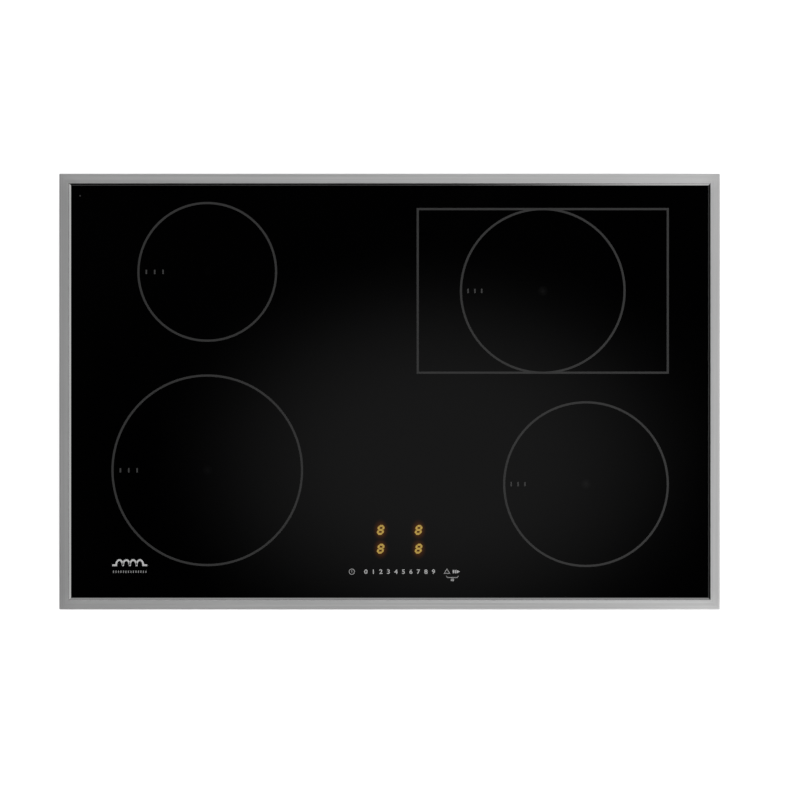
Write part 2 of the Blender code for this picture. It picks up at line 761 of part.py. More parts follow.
# Cooling ---------------------------------------------------------------------------------------
def make_fan(word, side):
    """Radial blower: it draws through the pan and blows outwards along the heat sink."""
    low_z = PAN_FLOOR_Z + GAP
    high_z = low_z + FAN_HEIGHT
    inside_low, inside_high = low_z + FAN_WALL, high_z - FAN_WALL
    middle = empty("fan_axis_" + word, (side * FAN_X, 0, 0))

    def duct(name, wall, reach, low, high):
        x_in, x_out = sorted((0, side * reach))
        y_low = FAN_RADIUS - FAN_OUTLET_WIDTH + wall
        made = box(name, (x_in, y_low, low), (x_out, FAN_RADIUS - wall, high))
        made.parent = middle
        return made

    housing = cylinder("fan_housing_" + word, FAN_RADIUS, low_z, high_z, steps=ROUND_STEPS)
    place(housing, PARTS, BLACK_PLASTIC, middle)
    join(housing, duct("duct", 0, FAN_OUTLET_REACH, low_z, high_z))
    inside = cylinder("fan_inside", FAN_RADIUS - FAN_WALL, inside_low, inside_high, steps=ROUND_STEPS)
    inside.parent = middle
    cut(housing, inside)
    cut(housing, duct("duct_inside", FAN_WALL, FAN_OUTLET_REACH + FAN_WALL, inside_low, inside_high))
    inlet = cylinder("fan_inlet", FAN_INLET, low_z - FAN_WALL, inside_low + FAN_WALL, steps=ROUND_STEPS)
    inlet.parent = middle
    cut(housing, inlet)
    boss = cylinder("fan_boss", BOSS_RADIUS, inside_high - BOSS_LENGTH, high_z - FAN_WALL / 2)
    boss.parent = middle
    join(housing, boss)
    make_rotor(word, side, middle, inside_low + ROTOR_CLEARANCE, inside_high - ROTOR_CLEARANCE)


def make_rotor(word, side, middle, low_z, high_z):
    """Impeller: a plate with a cup over the motor boss, curved-back blades and a shroud ring."""
    cup_in = BOSS_RADIUS + ROTOR_CLEARANCE
    cup_out = cup_in + ROTOR_CUP
    cup_floor = high_z + ROTOR_CLEARANCE - BOSS_LENGTH - ROTOR_CLEARANCE
    profile = [
        (0, cup_floor),
        (cup_in, cup_floor),
        (cup_in, high_z),
        (ROTOR_RADIUS, high_z),
        (ROTOR_RADIUS, high_z - ROTOR_PLATE),
        (cup_out, high_z - ROTOR_PLATE),
        (cup_out, cup_floor - ROTOR_CUP),
        (0, cup_floor - ROTOR_CUP),
    ]
    rotor = turned("fan_rotor_" + word, profile, closed=False)
    place(rotor, PARTS, GREY_PLASTIC, middle)
    form = bmesh.new()
    blade_top = high_z - ROTOR_PLATE / 2
    blade_middle = ROTOR_RADIUS - BLADE_CHORD / 2 - ROTOR_PLATE / 2
    for i in range(BLADES):
        made = bmesh.ops.create_cube(form, size=1)["verts"]
        bmesh.ops.scale(form, vec=(BLADE_CHORD, BLADE_THICKNESS, blade_top - low_z), verts=made)
        lean = Matrix.Rotation(side * BLADE_TILT, 3, "Z")
        bmesh.ops.rotate(form, cent=(0, 0, 0), matrix=lean, verts=made)
        bmesh.ops.translate(form, vec=(blade_middle, 0, (low_z + blade_top) / 2), verts=made)
        turn = Matrix.Rotation((i + 0.5) * 2 * math.pi / BLADES, 3, "Z")
        bmesh.ops.rotate(form, cent=(0, 0, 0), matrix=turn, verts=made)
    blades = boxes("blades", [])
    form.to_mesh(blades.data)
    form.free()
    blades.parent = middle
    join(rotor, blades)
    shroud_in = ROTOR_RADIUS - 2 * ROTOR_PLATE
    shroud = ring("shroud", shroud_in, ROTOR_RADIUS, low_z - ROTOR_PLATE / 2, low_z + ROTOR_PLATE)
    shroud.parent = middle
    join(rotor, shroud)


def make_heat_sink(word, side):
    """Comb-section extrusion on the power board, with its fins along the airflow."""
    base_z = BOARD_TOP_Z + GAP
    pitch = (SINK_WIDTH - FIN_THICKNESS) / (SINK_FINS - 1)
    fins_y = FAN_RADIUS - FAN_OUTLET_WIDTH / 2
    x_in, x_out = sorted((side * SINK_START_X, side * (SINK_START_X + SINK_LENGTH)))
    low_y = fins_y - SINK_WIDTH / 2
    sink = box(
        "heat_sink_" + word, (x_in, low_y, base_z), (x_out, low_y + SINK_WIDTH, base_z + SINK_HEIGHT)
    )
    channels = []
    for i in range(SINK_FINS - 1):
        y = low_y + FIN_THICKNESS + i * pitch
        low = (x_in - SINK_BASE, y, base_z + SINK_BASE)
        channels.append((low, (x_out + SINK_BASE, y + pitch - FIN_THICKNESS, base_z + 2 * SINK_HEIGHT)))
    cut(sink, boxes("sink_channels_" + word, channels))
    place(sink, PARTS, ALUMINIUM)


# Electronics -----------------------------------------------------------------------------------
def make_board(name, low, high, block_list, can_list):
    """A circuit board with its larger parts on it. Blocks and cans are placed from the low corner."""
    board = box(name, (*low, BOARD_Z), (*high, BOARD_TOP_Z))
    found = []
    sunk = BOARD_TOP_Z - BOARD_SHEET / 2
    for x, y, size_x, size_y, height in block_list:
        corner = (low[0] + x, low[1] + y, sunk)
        found.append((corner, (low[0] + x + size_x, low[1] + y + size_y, BOARD_TOP_Z + height)))
    posts = []
    for x in (low[0] + POST_INSET, high[0] - POST_INSET):
        for y in (low[1] + POST_INSET, high[1] - POST_INSET):
            corner = (x - POST_SIDE / 2, y - POST_SIDE / 2, PAN_FLOOR_Z + GAP)
            posts.append((corner, (x + POST_SIDE / 2, y + POST_SIDE / 2, BOARD_Z + BOARD_SHEET / 2)))
    join(board, boxes(name + "_blocks", found + posts))
    for x, y, radius, height in can_list:
        can = cylinder(
            name + "_can", radius, sunk, BOARD_TOP_Z + height, low[0] + x, low[1] + y, steps=SMALL_STEPS
        )
        join(board, can)
    place(board, PARTS, BOARD_GREEN)


def make_electronics():
    half_x, half_y = POWER_BOARD[0] / 2, POWER_BOARD[1] / 2
    for word, side in (("left", -1), ("right", 1)):
        low = (side * POWER_BOARD_X - half_x, POWER_BOARD_Y - half_y)
        high = (side * POWER_BOARD_X + half_x, POWER_BOARD_Y + half_y)
        make_board("power_board_" + word, low, high, POWER_BLOCKS, POWER_CANS)
        make_heat_sink(word, side)
    low_x = TERMINAL_X + TERMINAL_HOLE[0] / 2 + FILTER_GAP
    high_y = CASING_LENGTH / 2 - FILTER_GAP
    make_board(
        "filter_board",
        (low_x, high_y - FILTER_BOARD[1]),
        (low_x + FILTER_BOARD[0], high_y),
        FILTER_BLOCKS,
        FILTER_CANS,
    )


def make_terminal():
    """Mains terminal block over a hole in the pan, and the cover with the cable inlet."""
    wall = CASING_LENGTH / 2
    size_x, size_y, size_z = TERMINAL_BLOCK
    middle_y = wall - TERMINAL_HOLE[1] + size_y / 2
    low_z = PAN_FLOOR_Z + TERMINAL_LIFT
    low = (TERMINAL_X - size_x / 2, middle_y - size_y / 2, low_z)
    high = (TERMINAL_X + size_x / 2, middle_y + size_y / 2, low_z + size_z)
    block = box("terminal_block", low, high)
    feet = []
    for side in (-1, 1):
        near, far = sorted((side * size_x / 2, side * (size_x / 2 - TERMINAL_FOOT)))
        corner = (TERMINAL_X + near, low[1], PAN_FLOOR_Z + GAP)
        feet.append((corner, (TERMINAL_X + far, high[1], low_z + GAP)))
    join(block, boxes("terminal_feet", feet))
    ports = []
    for i in range(5):
        x = TERMINAL_X + (i - 2) * TERMINAL_PITCH
        left, right = x - TERMINAL_PORT / 2, x + TERMINAL_PORT / 2
        wire_low = (left, middle_y, low_z + TERMINAL_PORT)
        ports.append((wire_low, (right, middle_y + size_y, low_z + TERMINAL_PORT * 2)))
        screw_low = (left, middle_y - TERMINAL_PORT * 1.5, low_z - size_z)
        ports.append((screw_low, (right, middle_y - TERMINAL_PORT / 2, low_z + TERMINAL_PORT)))
    cut(block, boxes("terminal_ports", ports))
    place(block, PARTS, WHITE_PLASTIC)

    top_z = FOOT_HEIGHT - GAP
    lap_x = TERMINAL_HOLE[0] / 2 + COVER_LAP
    cover_y = wall - TERMINAL_HOLE[1] - COVER_LAP
    cover_low = (TERMINAL_X - lap_x, cover_y, top_z - COVER_SHEET)
    cover = box("terminal_cover", cover_low, (TERMINAL_X + lap_x, wall, top_z))
    inlet_x = INLET_WIDTH / 2 - GAP
    lip = box(
        "inlet_lip",
        (TERMINAL_X - inlet_x, wall - 2 * COVER_SHEET, top_z - COVER_SHEET / 2),
        (TERMINAL_X + inlet_x, wall, FOOT_HEIGHT + INLET_HEIGHT - GAP),
    )
    join(cover, lip)
    bore = cylinder("inlet_bore", INLET_RADIUS, -PAN_CORNER, PAN_CORNER, steps=24)
    bore.rotation_euler = (math.pi / 2, 0, 0)
    bore.location = (TERMINAL_X, wall - COVER_SHEET, FOOT_HEIGHT + INLET_HEIGHT / 2)
    cut(cover, bore)
    place(cover, PARTS, BLACK_PLASTIC)


# Controls --------------------------------------------------------------------------------------
def make_controls():
    """Tray, board, digit displays and touch contacts under the front of the glass."""
    half_x, half_y = UI_SIZE[0] / 2, UI_SIZE[1] / 2
    tray_z = UI_TOP_Z - UI_TRAY_HEIGHT
    tray_low = (UI_X - half_x, UI_Y - half_y, tray_z)
    tray = box("ui_tray", tray_low, (UI_X + half_x, UI_Y + half_y, UI_TOP_Z))
    inner_x, inner_y = half_x - UI_WALL, half_y - UI_WALL
    hollow = box(
        "tray_inside",
        (UI_X - inner_x, UI_Y - inner_y, tray_z + UI_WALL),
        (UI_X + inner_x, UI_Y + inner_y, UI_TOP_Z + UI_WALL),
    )
    cut(tray, hollow)
    legs = []
    for side_x in (-1, 1):
        for side_y in (-1, 1):
            x = UI_X + side_x * (inner_x - POST_INSET)
            y = UI_Y + side_y * (inner_y - POST_INSET)
            corner = (x - POST_SIDE / 2, y - POST_SIDE / 2, DECK_Z + DECK_SHEET + GAP)
            legs.append((corner, (x + POST_SIDE / 2, y + POST_SIDE / 2, tray_z + UI_WALL / 2)))
    join(tray, boxes("tray_legs", legs))
    place(tray, PARTS, GREY_PLASTIC)

    board_z = tray_z + UI_WALL + UI_BOARD_LIFT
    board_top = board_z + BOARD_SHEET
    board_x, board_y = inner_x - GAP, inner_y - GAP
    board_low = (UI_X - board_x, UI_Y - board_y, board_z)
    board = box("ui_board", board_low, (UI_X + board_x, UI_Y + board_y, board_top))
    posts = []
    for side_x in (-1, 1):
        for side_y in (-1, 1):
            x = UI_X + side_x * (board_x - POST_INSET)
            y = UI_Y + side_y * (board_y - POST_INSET)
            corner = (x - POST_SIDE / 2, y - POST_SIDE / 2, tray_z + UI_WALL + GAP)
            posts.append((corner, (x + POST_SIDE / 2, y + POST_SIDE / 2, board_z + BOARD_SHEET / 2)))
    join(board, boxes("ui_posts", posts))
    place(board, PARTS, BOARD_GREEN)

    low_z = board_top + GAP
    high_z = UI_TOP_Z - GAP
    display_y = -FRAME_DEPTH / 2 + DISPLAY_FRONT
    size_x, size_y, size_z = DISPLAY_SIZE
    display = box(
        "display_module",
        (DISPLAY_X - size_x / 2, display_y - size_y / 2, low_z),
        (DISPLAY_X + size_x / 2, display_y + size_y / 2, min(low_z + size_z, high_z)),
    )
    windows = []
    window_z = min(low_z + size_z, high_z) - UI_WALL
    for side_x in (-1, 1):
        for side_y in (-1, 1):
            x = DISPLAY_X + side_x * DIGIT_PITCH[0] / 2
            y = display_y + side_y * DIGIT_PITCH[1] / 2
            corner = (x - DIGIT_WINDOW[0] / 2, y - DIGIT_WINDOW[1] / 2, window_z)
            windows.append((corner, (x + DIGIT_WINDOW[0] / 2, y + DIGIT_WINDOW[1] / 2, UI_TOP_Z)))
    cut(display, boxes("digit_windows", windows))
    place(display, PARTS, WHITE_PLASTIC)

    touch_y = -FRAME_DEPTH / 2 + TOUCH_FRONT
    strip_y, strip_z = TOUCH_STRIP
    fields = [TOUCH_FIRST + i * TOUCH_PITCH for i in range(TOUCH_FIELDS)] + list(TOUCH_EXTRA)
    start, end = min(fields) - strip_y, max(fields) + strip_y
    strip_low = (start, touch_y - strip_y / 2, low_z)
    strip = box("touch_contacts", strip_low, (end, touch_y + strip_y / 2, low_z + strip_z))
    for x in fields:
        pad = cylinder("touch_pad", TOUCH_PAD, low_z + strip_z / 2, high_z, x, touch_y, steps=8)
        join(strip, pad)
    place(strip, PARTS, BLACK_PLASTIC)


# Fixing clips -----------------------------------------------------------------------------------
def make_clip(word, side, y):
    """Leaf clip that grips the cut-out's wall. It swings about the eye at its lower end."""
    eye = (CLIP_EYE_OUT, CLIP_EYE_Z)
    bulge = (CLIP_REACH - CLIP_SHEET / 2, CLIP_BULGE_Z)
    middle_line = [eye, bulge, CLIP_TAIL]
    left, right = [], []
    for i, point in enumerate(middle_line):
        before = Vector(middle_line[max(i - 1, 0)])
        after = Vector(middle_line[min(i + 1, len(middle_line) - 1)])
        along = (after - before).normalized()
        across = Vector((-along.y, along.x)) * CLIP_SHEET / 2
        left.append(tuple(Vector(point) + across))
        right.append(tuple(Vector(point) - across))
    outline = [(side * px, pz) for px, pz in left + right[::-1]]
    clip = plate("clip_" + word, [outline], -CLIP_WIDTH / 2, CLIP_WIDTH / 2)
    clip.data.transform(Matrix.Rotation(math.pi / 2, 4, "X"))
    clip.data.transform(Matrix.Translation((-side * CLIP_EYE_OUT, 0, -CLIP_EYE_Z)))
    clip.location = (side * (CASING_WIDTH / 2 + CLIP_EYE_OUT), y, CLIP_EYE_Z)
    place(clip, PARTS, SPRING_STEEL)
    eye_roll = cylinder("eye", CLIP_EYE, -CLIP_WIDTH / 2, CLIP_WIDTH / 2, steps=12)
    eye_roll.rotation_euler = (math.pi / 2, 0, 0)
    eye_roll.location = (0, 0, 0)
    eye_roll.parent = clip
    join(clip, eye_roll)


clear_scene()
PARTS = new_collection("induction_cooktop")
HELPERS = new_collection("helpers")

STEEL = material("brushed_steel", (0.62, 0.62, 0.61), 0.32, 1.0)
GLASS = material("black_glass", (0.006, 0.006, 0.007), 0.05)
FOAM = material("seal_foam", (0.03, 0.03, 0.03), 0.9)
SILICONE = material("silicone", (0.02, 0.02, 0.02), 0.6)
GALVANISED = material("galvanised_steel", (0.55, 0.56, 0.57), 0.45, 1.0)
ALUMINIUM = material("aluminium", (0.75, 0.76, 0.77), 0.4, 1.0)
COPPER = material("copper_litz", (0.72, 0.33, 0.16), 0.4, 1.0)
FERRITE = material("ferrite", (0.05, 0.05, 0.055), 0.55)
MICA = material("mica", (0.62, 0.58, 0.48), 0.6)
SPRING_STEEL = material("spring_steel", (0.5, 0.5, 0.5), 0.3, 1.0)
CARRIER_PLASTIC = material("carrier_plastic", (0.80, 0.79, 0.74), 0.55)
BLACK_PLASTIC = material("black_plastic", (0.02, 0.02, 0.02), 0.5)
GREY_PLASTIC = material("grey_plastic", (0.25, 0.25, 0.26), 0.5)
WHITE_PLASTIC = material("white_plastic", (0.8, 0.8, 0.78), 0.45)
SENSOR_WHITE = material("sensor_ceramic", (0.86, 0.85, 0.82), 0.4)
BOARD_GREEN = material("circuit_board", (0.04, 0.20, 0.09), 0.4)

make_frame()
make_glass()
make_support_frame()
make_base_pan()
spring_points = []
for each_zone in (*ZONES, ROASTER):
    spring_points += make_coil(each_zone)
make_coil_deck(spring_points)
for side_word, side_sign in (("left", -1), ("right", 1)):
    make_fan(side_word, side_sign)
    make_clip("front_" + side_word, side_sign, -CLIP_Y)
    make_clip("rear_" + side_word, side_sign, CLIP_Y)
make_electronics()
make_terminal()
make_controls()
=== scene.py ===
"""Looks of a built-in induction cooktop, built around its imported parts. Metres, +Z up, user at -Y."""

import json
import math

import bmesh
import bpy
from mathutils import Matrix, Vector


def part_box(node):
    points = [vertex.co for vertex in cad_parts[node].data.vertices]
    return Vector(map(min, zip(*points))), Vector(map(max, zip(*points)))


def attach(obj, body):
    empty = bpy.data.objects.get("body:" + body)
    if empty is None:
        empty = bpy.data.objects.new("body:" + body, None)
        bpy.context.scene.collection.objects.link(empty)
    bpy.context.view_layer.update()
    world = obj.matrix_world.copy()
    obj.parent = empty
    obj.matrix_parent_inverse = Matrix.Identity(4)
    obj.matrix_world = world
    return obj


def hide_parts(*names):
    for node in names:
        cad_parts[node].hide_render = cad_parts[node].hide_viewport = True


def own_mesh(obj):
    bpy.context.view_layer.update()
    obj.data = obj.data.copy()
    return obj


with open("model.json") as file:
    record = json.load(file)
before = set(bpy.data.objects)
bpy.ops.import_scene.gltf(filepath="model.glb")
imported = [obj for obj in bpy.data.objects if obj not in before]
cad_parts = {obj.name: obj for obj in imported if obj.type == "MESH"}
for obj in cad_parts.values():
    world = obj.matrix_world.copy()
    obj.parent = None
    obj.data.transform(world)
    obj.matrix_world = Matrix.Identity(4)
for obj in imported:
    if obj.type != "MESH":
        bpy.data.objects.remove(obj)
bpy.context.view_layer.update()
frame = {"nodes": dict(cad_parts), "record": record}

# --- Places read from the frame ---
ZONE_NAMES = ("front_left", "rear_left", "front_right", "rear_right")
ROASTER_NAME = "rear_right"
FRAME_LOW, FRAME_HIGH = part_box("steel_frame")
GLASS_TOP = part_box("glass_panel")[1].z
PAN_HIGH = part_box("base_pan")[1]
SEAL_LOW, SEAL_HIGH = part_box("worktop_seal")
CASING_INSET = FRAME_HIGH.y - PAN_HIGH.y
WALL_X, WALL_Y = FRAME_HIGH.x - CASING_INSET, PAN_HIGH.y
BODIES = frame["record"]["behaviour"]["bodies"]
BODY_OF = {node: body for body, nodes in BODIES.items() for node in nodes}
SLOT_OF = {part["node"]: part["material_slot"] for part in frame["record"]["subparts"]}

# --- Sizes: top ---
BAND = 0.0136  # steel band, seen from above
LIP_SLOPE = 0.0024  # width of the slope at the band's inner edge
LIP_DROP = 0.0009  # height that the slope loses
LIP_NOSE = 0.0003  # rounding where the slope ends, and its gap over the glass
EDGE_ROUND = 0.0008
CORNER_ROUND = 0.0013
SHARP_ANGLE = 40  # degrees: sharper edges of the CAD pieces are rounded
BAND_SHEET = 0.001
SEAL_WIDTH = 0.007
PRINT_LIFT = 0.00002  # ink above the glass
PRINT_THICKNESS = 0.00003
INK_LOW = GLASS_TOP + PRINT_LIFT
INK_HIGH = INK_LOW + PRINT_THICKNESS
ZONE_LINE = 0.0025
ZONE_DIAMETERS = {"front_left": 0.220, "rear_left": 0.160, "front_right": 0.190, "rear_right": 0.190}
ZONE_LINE_INSET = 0.0004  # zone's edge to the middle of its line
ZONE_BARS = {"left": (0.0091, 0.0097), "right": (0.0082, 0.0079)}  # line to the first bar, and pitch
BAR_SIZE = (0.0017, 0.0050)
ROASTER_SIZE = (0.290, 0.190)
CORNER_DOT = (-0.358, 0.2265)

TOUCH_Y = FRAME_LOW.y + 0.0438
TOUCH_FIRST = -0.0276  # the digit 0; the others follow at the pitch
TOUCH_PITCH = 0.00869
DIGIT_HEIGHT = 0.0052
DIGIT_WEIGHT = 0.022  # outline grown, as a share of the letter's size
DIGIT_STRETCH = 1.12
SYMBOL_LINE = 0.00085
ON_OFF_X, TIMER_X, LOCK_X, STOP_X = -0.0438, 0.0662, 0.0725, 0.0752
DISPLAY_MIDDLE = (0.0115, FRAME_LOW.y + 0.0812)
DISPLAY_PITCH = (0.0438, 0.0217)
FIGURE_SIZE = (0.0079, 0.0115)
FIGURE_STROKE = 0.0024
FIGURE_GAP = 0.0001
FIGURE_SLANT = math.tan(math.radians(10))
MARK_LOW = (-0.3209, FRAME_LOW.y + 0.0419)
MARK_SIZE = (0.0404, 0.0156)
MARK_HUMPS, MARK_TICKS = 4, 14

# --- Sizes: coils ---
WIRE_GAP = 0.0001
COIL_BORE = 0.024  # radius inside the first turn
COIL_STEPS = 44  # points in a turn
SIDE_COIL_WIDTH = 0.014
SPRING_TURNS = 3.0
SPRING_STEPS = 24
SPRING_WIRE = 0.0005  # the wire's radius
SPRING_RADIUS = 0.005

# --- Sizes: casing ---
PAN_SHEET = 0.0008
PAN_CORNER = 0.004
PAN_FOLD = 0.0024
PAN_UNDER = 0.002  # floor above the feet
SLOT_WIDTH = 0.0035
SLOT_PITCH = 0.008
FAN_INLET = 0.027
BOARD_TOP = 0.0094  # height of the boards' upper face
BOARD_SHEET = 0.0016
SIDE_SLOT_HEIGHT = 0.014
CLIP_EYE_OUT = 0.0028  # wall to hinge axis
CLIP_EYE_Z = 0.011


# --- Node materials ---
class Nodes:
    """A node tree under construction."""

    def __init__(self, tree):
        self.tree = tree

    def add(self, kind, **values):
        """A node. Values name its properties, or its inputs, where i0 is the first."""
        made = self.tree.nodes.new("ShaderNode" + kind)
        for name, value in values.items():
            if hasattr(made, name):
                setattr(made, name, value)
                continue
            by_number = name[0] == "i" and name[1:].isdigit()
            socket = made.inputs[int(name[1:]) if by_number else name.replace("_", " ")]
            if hasattr(value, "is_output"):
                self.tree.links.new(value, socket)
            else:
                socket.default_value = value
        return made

    def maths(self, operation, first, second=0.0):
        return self.add("Math", operation=operation, i0=first, i1=second).outputs["Value"]

    def ramp(self, value, low, high, low_in=0.0, high_in=1.0, kind="LINEAR"):
        """A number moved from low_in..high_in to low..high."""
        made = self.add("MapRange", interpolation_type=kind, Value=value, From_Min=low_in, From_Max=high_in)
        made.inputs["To Min"].default_value, made.inputs["To Max"].default_value = low, high
        return made.outputs["Result"]


class Shade(Nodes):
    """A material under construction: a Principled shader and the nodes that feed it."""

    def __init__(self, name, colour, roughness, metallic=0.0, **settings):
        self.material = bpy.data.materials.new(name)
        self.material.use_nodes = True
        super().__init__(self.material.node_tree)
        self.shader = self.tree.nodes["Principled BSDF"]
        self.shader.inputs["Base Color"].default_value = (*colour, 1)
        self.shader.inputs["Roughness"].default_value = roughness
        self.shader.inputs["Metallic"].default_value = metallic
        for socket, value in settings.items():
            self.shader.inputs[socket.replace("_", " ")].default_value = value

    def link(self, output, socket):
        self.tree.links.new(output, self.shader.inputs[socket])

    def place(self, scale=(1, 1, 1)):
        """Coordinates in metres in the object's own frame, stretched by scale."""
        where = self.add("TexCoord").outputs["Object"]
        return self.add("Mapping", Vector=where, Scale=scale).outputs["Vector"]

    def noise(self, scale, stretch=(1, 1, 1), detail=3.0):
        made = self.add("TexNoise", Vector=self.place(stretch), Scale=scale, Detail=detail)
        return made.outputs["Fac"]

    def gloss(self, *ramp):
        """Roughness from a value, moved as ramp() moves it."""
        self.link(self.ramp(*ramp), "Roughness")

    def blend(self, first, share, second):
        """first and second mixed, with this share of first."""
        rest = self.maths("MULTIPLY", second, 1 - share)
        return self.maths("ADD", self.maths("MULTIPLY", first, share), rest)

    def mix(self, factor, first, second):
        colours = [(*c, 1) if isinstance(c, tuple) and len(c) == 3 else c for c in (first, second)]
        return self.add("Mix", data_type="RGBA", i0=factor, i6=colours[0], i7=colours[1]).outputs[2]

    def bump(self, height, distance, strength=1.0):
        made = self.add("Bump", Height=height, Distance=distance, Strength=strength)
        self.link(made.outputs["Normal"], "Normal")

    def tint(self, value, colour, spread):
        """Base colour from spread darker to spread lighter as value goes from 0.3 to 0.7."""
        dark = tuple(c * (1 - spread) for c in colour)
        light = tuple(min(1.0, c * (1 + spread)) for c in colour)
        self.link(self.mix(self.ramp(value, 0, 1, 0.3, 0.7), dark, light), "Base Color")


def moulded(name, colour, roughness, spread=0.06, grain=1400.0, depth=0.00003, metallic=0.0):
    """Moulded, cast or pressed stuff: slightly uneven colour and gloss, and a fine grain."""
    made = Shade(name, colour, roughness, metallic)
    made.tint(made.noise(30.0), colour, spread)
    fine = made.noise(grain, detail=4.0)
    worn = made.blend(fine, 0.5, made.noise(12.0, detail=2.0))
    made.gloss(worn, roughness * 0.8, min(1.0, roughness * 1.2), 0.3, 0.7)
    made.bump(fine, depth)
    return made.material


def brushed(name, colour, roughness, along, spread=0.08):
    """Metal rolled or ground in one direction: long fine streaks in colour, gloss and height."""
    made = Shade(name, colour, roughness, 1.0)
    stretches = [tuple(3.0 if axis == along else fine for axis in "xyz") for fine in (900.0, 240.0)]
    both = made.blend(made.noise(1.0, stretches[0], 2.0), 0.5, made.noise(1.0, stretches[1], 2.0))
    made.tint(both, colour, spread)
    made.gloss(both, roughness * 0.82, roughness * 1.18, 0.3, 0.7)
    made.bump(both, 0.000012)
    return made.material


PAINTED_CROSS_SHEEN = 1.16  # painted highlight: base colour of the front and rear bands against the side ones


def brushed_trim(name, colour, roughness, spread):
    """The trim's steel. It is ground along each side, so the grain turns at the mitres. The front and rear
    bands get a lighter base colour as a painted highlight.
    """
    made = Shade(name, colour, roughness, 1.0)
    split = made.add("SeparateXYZ", Vector=made.place())
    past_x = made.maths("SUBTRACT", made.maths("ABSOLUTE", split.outputs["X"]), FRAME_HIGH.x)
    past_y = made.maths("SUBTRACT", made.maths("ABSOLUTE", split.outputs["Y"]), FRAME_HIGH.y)
    past = made.maths("SUBTRACT", past_x, past_y)
    on_side = made.ramp(past, 0.0, 1.0, -0.001, 0.001)
    # Painted highlight: the base colour rises from the side bands to the front and rear bands.
    painted_band_sheen = made.ramp(past, PAINTED_CROSS_SHEEN, 1.0, -0.014, 0.014)

    def streaks(fine, slow):
        along_x = made.noise(1.0, (slow, fine, fine), 2.0)
        along_y = made.noise(1.0, (fine, slow, fine), 2.0)
        return made.add("Mix", data_type="FLOAT", i0=on_side, i2=along_x, i3=along_y).outputs[0]

    lines = made.blend(streaks(1500.0, 3.0), 0.4, streaks(420.0, 1.6))
    tone = made.ramp(made.blend(lines, 0.8, made.noise(6.0, detail=2.0)), 1 - spread, 1 + spread, 0.3, 0.7)
    grain_and_painted_sheen = made.maths("MULTIPLY", tone, painted_band_sheen)
    scaled = made.add("VectorMath", operation="SCALE", i0=colour, Scale=grain_and_painted_sheen)
    made.link(scaled.outputs["Vector"], "Base Color")
    made.gloss(lines, roughness * 0.85, roughness * 1.15, 0.3, 0.7)
    made.bump(lines, 0.00001)
    return made.material


def spangled(name, colour, roughness):
    """Zinc-coated sheet: large soft crystals with slightly different gloss, and a dull bloom."""
    made = Shade(name, colour, roughness, 1.0)
    cells = made.add("TexVoronoi", Vector=made.place(), Scale=170.0)
    tone = made.add("SeparateColor", Color=cells.outputs["Color"]).outputs[0]
    bloom = made.noise(9.0, detail=5.0)
    made.tint(made.blend(tone, 0.3, bloom), colour, 0.09)
    made.gloss(made.blend(tone, 0.5, bloom), roughness * 0.7, roughness * 1.3)
    made.bump(made.noise(900.0), 0.000012)
    return made.material


def twisted(name, colour, roughness):
    """Litz wire: fine lacquered strands that cross the wire at a slant."""
    made = Shade(name, colour, roughness, 1.0)
    strands = made.add("TexWave", Vector=made.place(), Scale=520.0, Distortion=2.5, Detail=2.0)
    strands.bands_direction = "DIAGONAL"
    lines = made.blend(strands.outputs["Fac"], 0.6, made.noise(900.0))
    made.tint(lines, colour, 0.28)
    made.gloss(lines, roughness * 1.3, roughness * 0.8)
    made.bump(lines, 0.00012)
    return made.material


def layered_mica(name):
    """Pressed mica: overlapping pale flakes with a silky gloss."""
    colour = (0.56, 0.52, 0.42)
    made = Shade(name, colour, 0.4)
    cells = made.add("TexVoronoi", Vector=made.place(), Scale=260.0)
    flakes = made.add("SeparateColor", Color=cells.outputs["Color"]).outputs[0]
    both = made.blend(flakes, 0.6, made.noise(70.0))
    made.tint(both, colour, 0.22)
    made.gloss(flakes, 0.28, 0.6)
    made.bump(both, 0.00003)
    return made.material


def laminate(name, colour):
    """Circuit board: lacquer over long copper tracks that step aside here and there, and plated holes."""
    made = Shade(name, colour, 0.32)
    where = made.place()
    tracks = made.add("TexBrick", Vector=where, Scale=60.0, Mortar_Size=0.016, Mortar_Smooth=0.2)
    tracks.inputs["Brick Width"].default_value = 1.7
    tracks.inputs["Row Height"].default_value = 0.11
    for socket, tone in (("Color1", 0.0), ("Color2", 0.12), ("Mortar", 1.0)):
        tracks.inputs[socket].default_value = (tone, tone, tone, 1)
    copper = made.add("SeparateColor", Color=tracks.outputs["Color"]).outputs[0]
    poured = made.ramp(made.noise(26.0, detail=0.0), 0.0, 1.0, 0.53, 0.54)
    copper = made.maths("MAXIMUM", copper, made.maths("MULTIPLY", poured, 0.75))
    light = tuple(min(1.0, c * 1.7) for c in colour)
    cells = made.add("TexVoronoi", Vector=where, Scale=150.0)
    holes = made.ramp(cells.outputs["Distance"], 1.0, 0.0, 0.07, 0.10)
    made.link(made.mix(holes, made.mix(copper, colour, light), (0.42, 0.40, 0.34)), "Base Color")
    made.gloss(made.noise(500.0), 0.22, 0.4)
    made.bump(copper, 0.00004)
    return made.material


def foam(name, colour):
    """Closed-cell foam: small open pits in a dull skin."""
    made = Shade(name, colour, 0.9)
    cells = made.add("TexVoronoi", Vector=made.place(), Scale=1300.0).outputs["Distance"]
    made.tint(cells, colour, 0.45)
    made.gloss(cells, 0.75, 0.98)
    made.bump(cells, 0.0002)
    return made.material


def falling(made, where, centre, squash, near, far):
    """1 within near of a point and 0 past far. squash stretches the distance along X and Y."""
    off = made.add("VectorMath", operation="SUBTRACT", i0=where, i1=(*centre[:2], GLASS_TOP))
    off = made.add("VectorMath", operation="MULTIPLY", i0=off.outputs["Vector"], i1=(*squash, 1))
    reach = made.add("VectorMath", operation="LENGTH", i0=off.outputs["Vector"]).outputs["Value"]
    return made.ramp(reach, 1.0, 0.0, near, far)


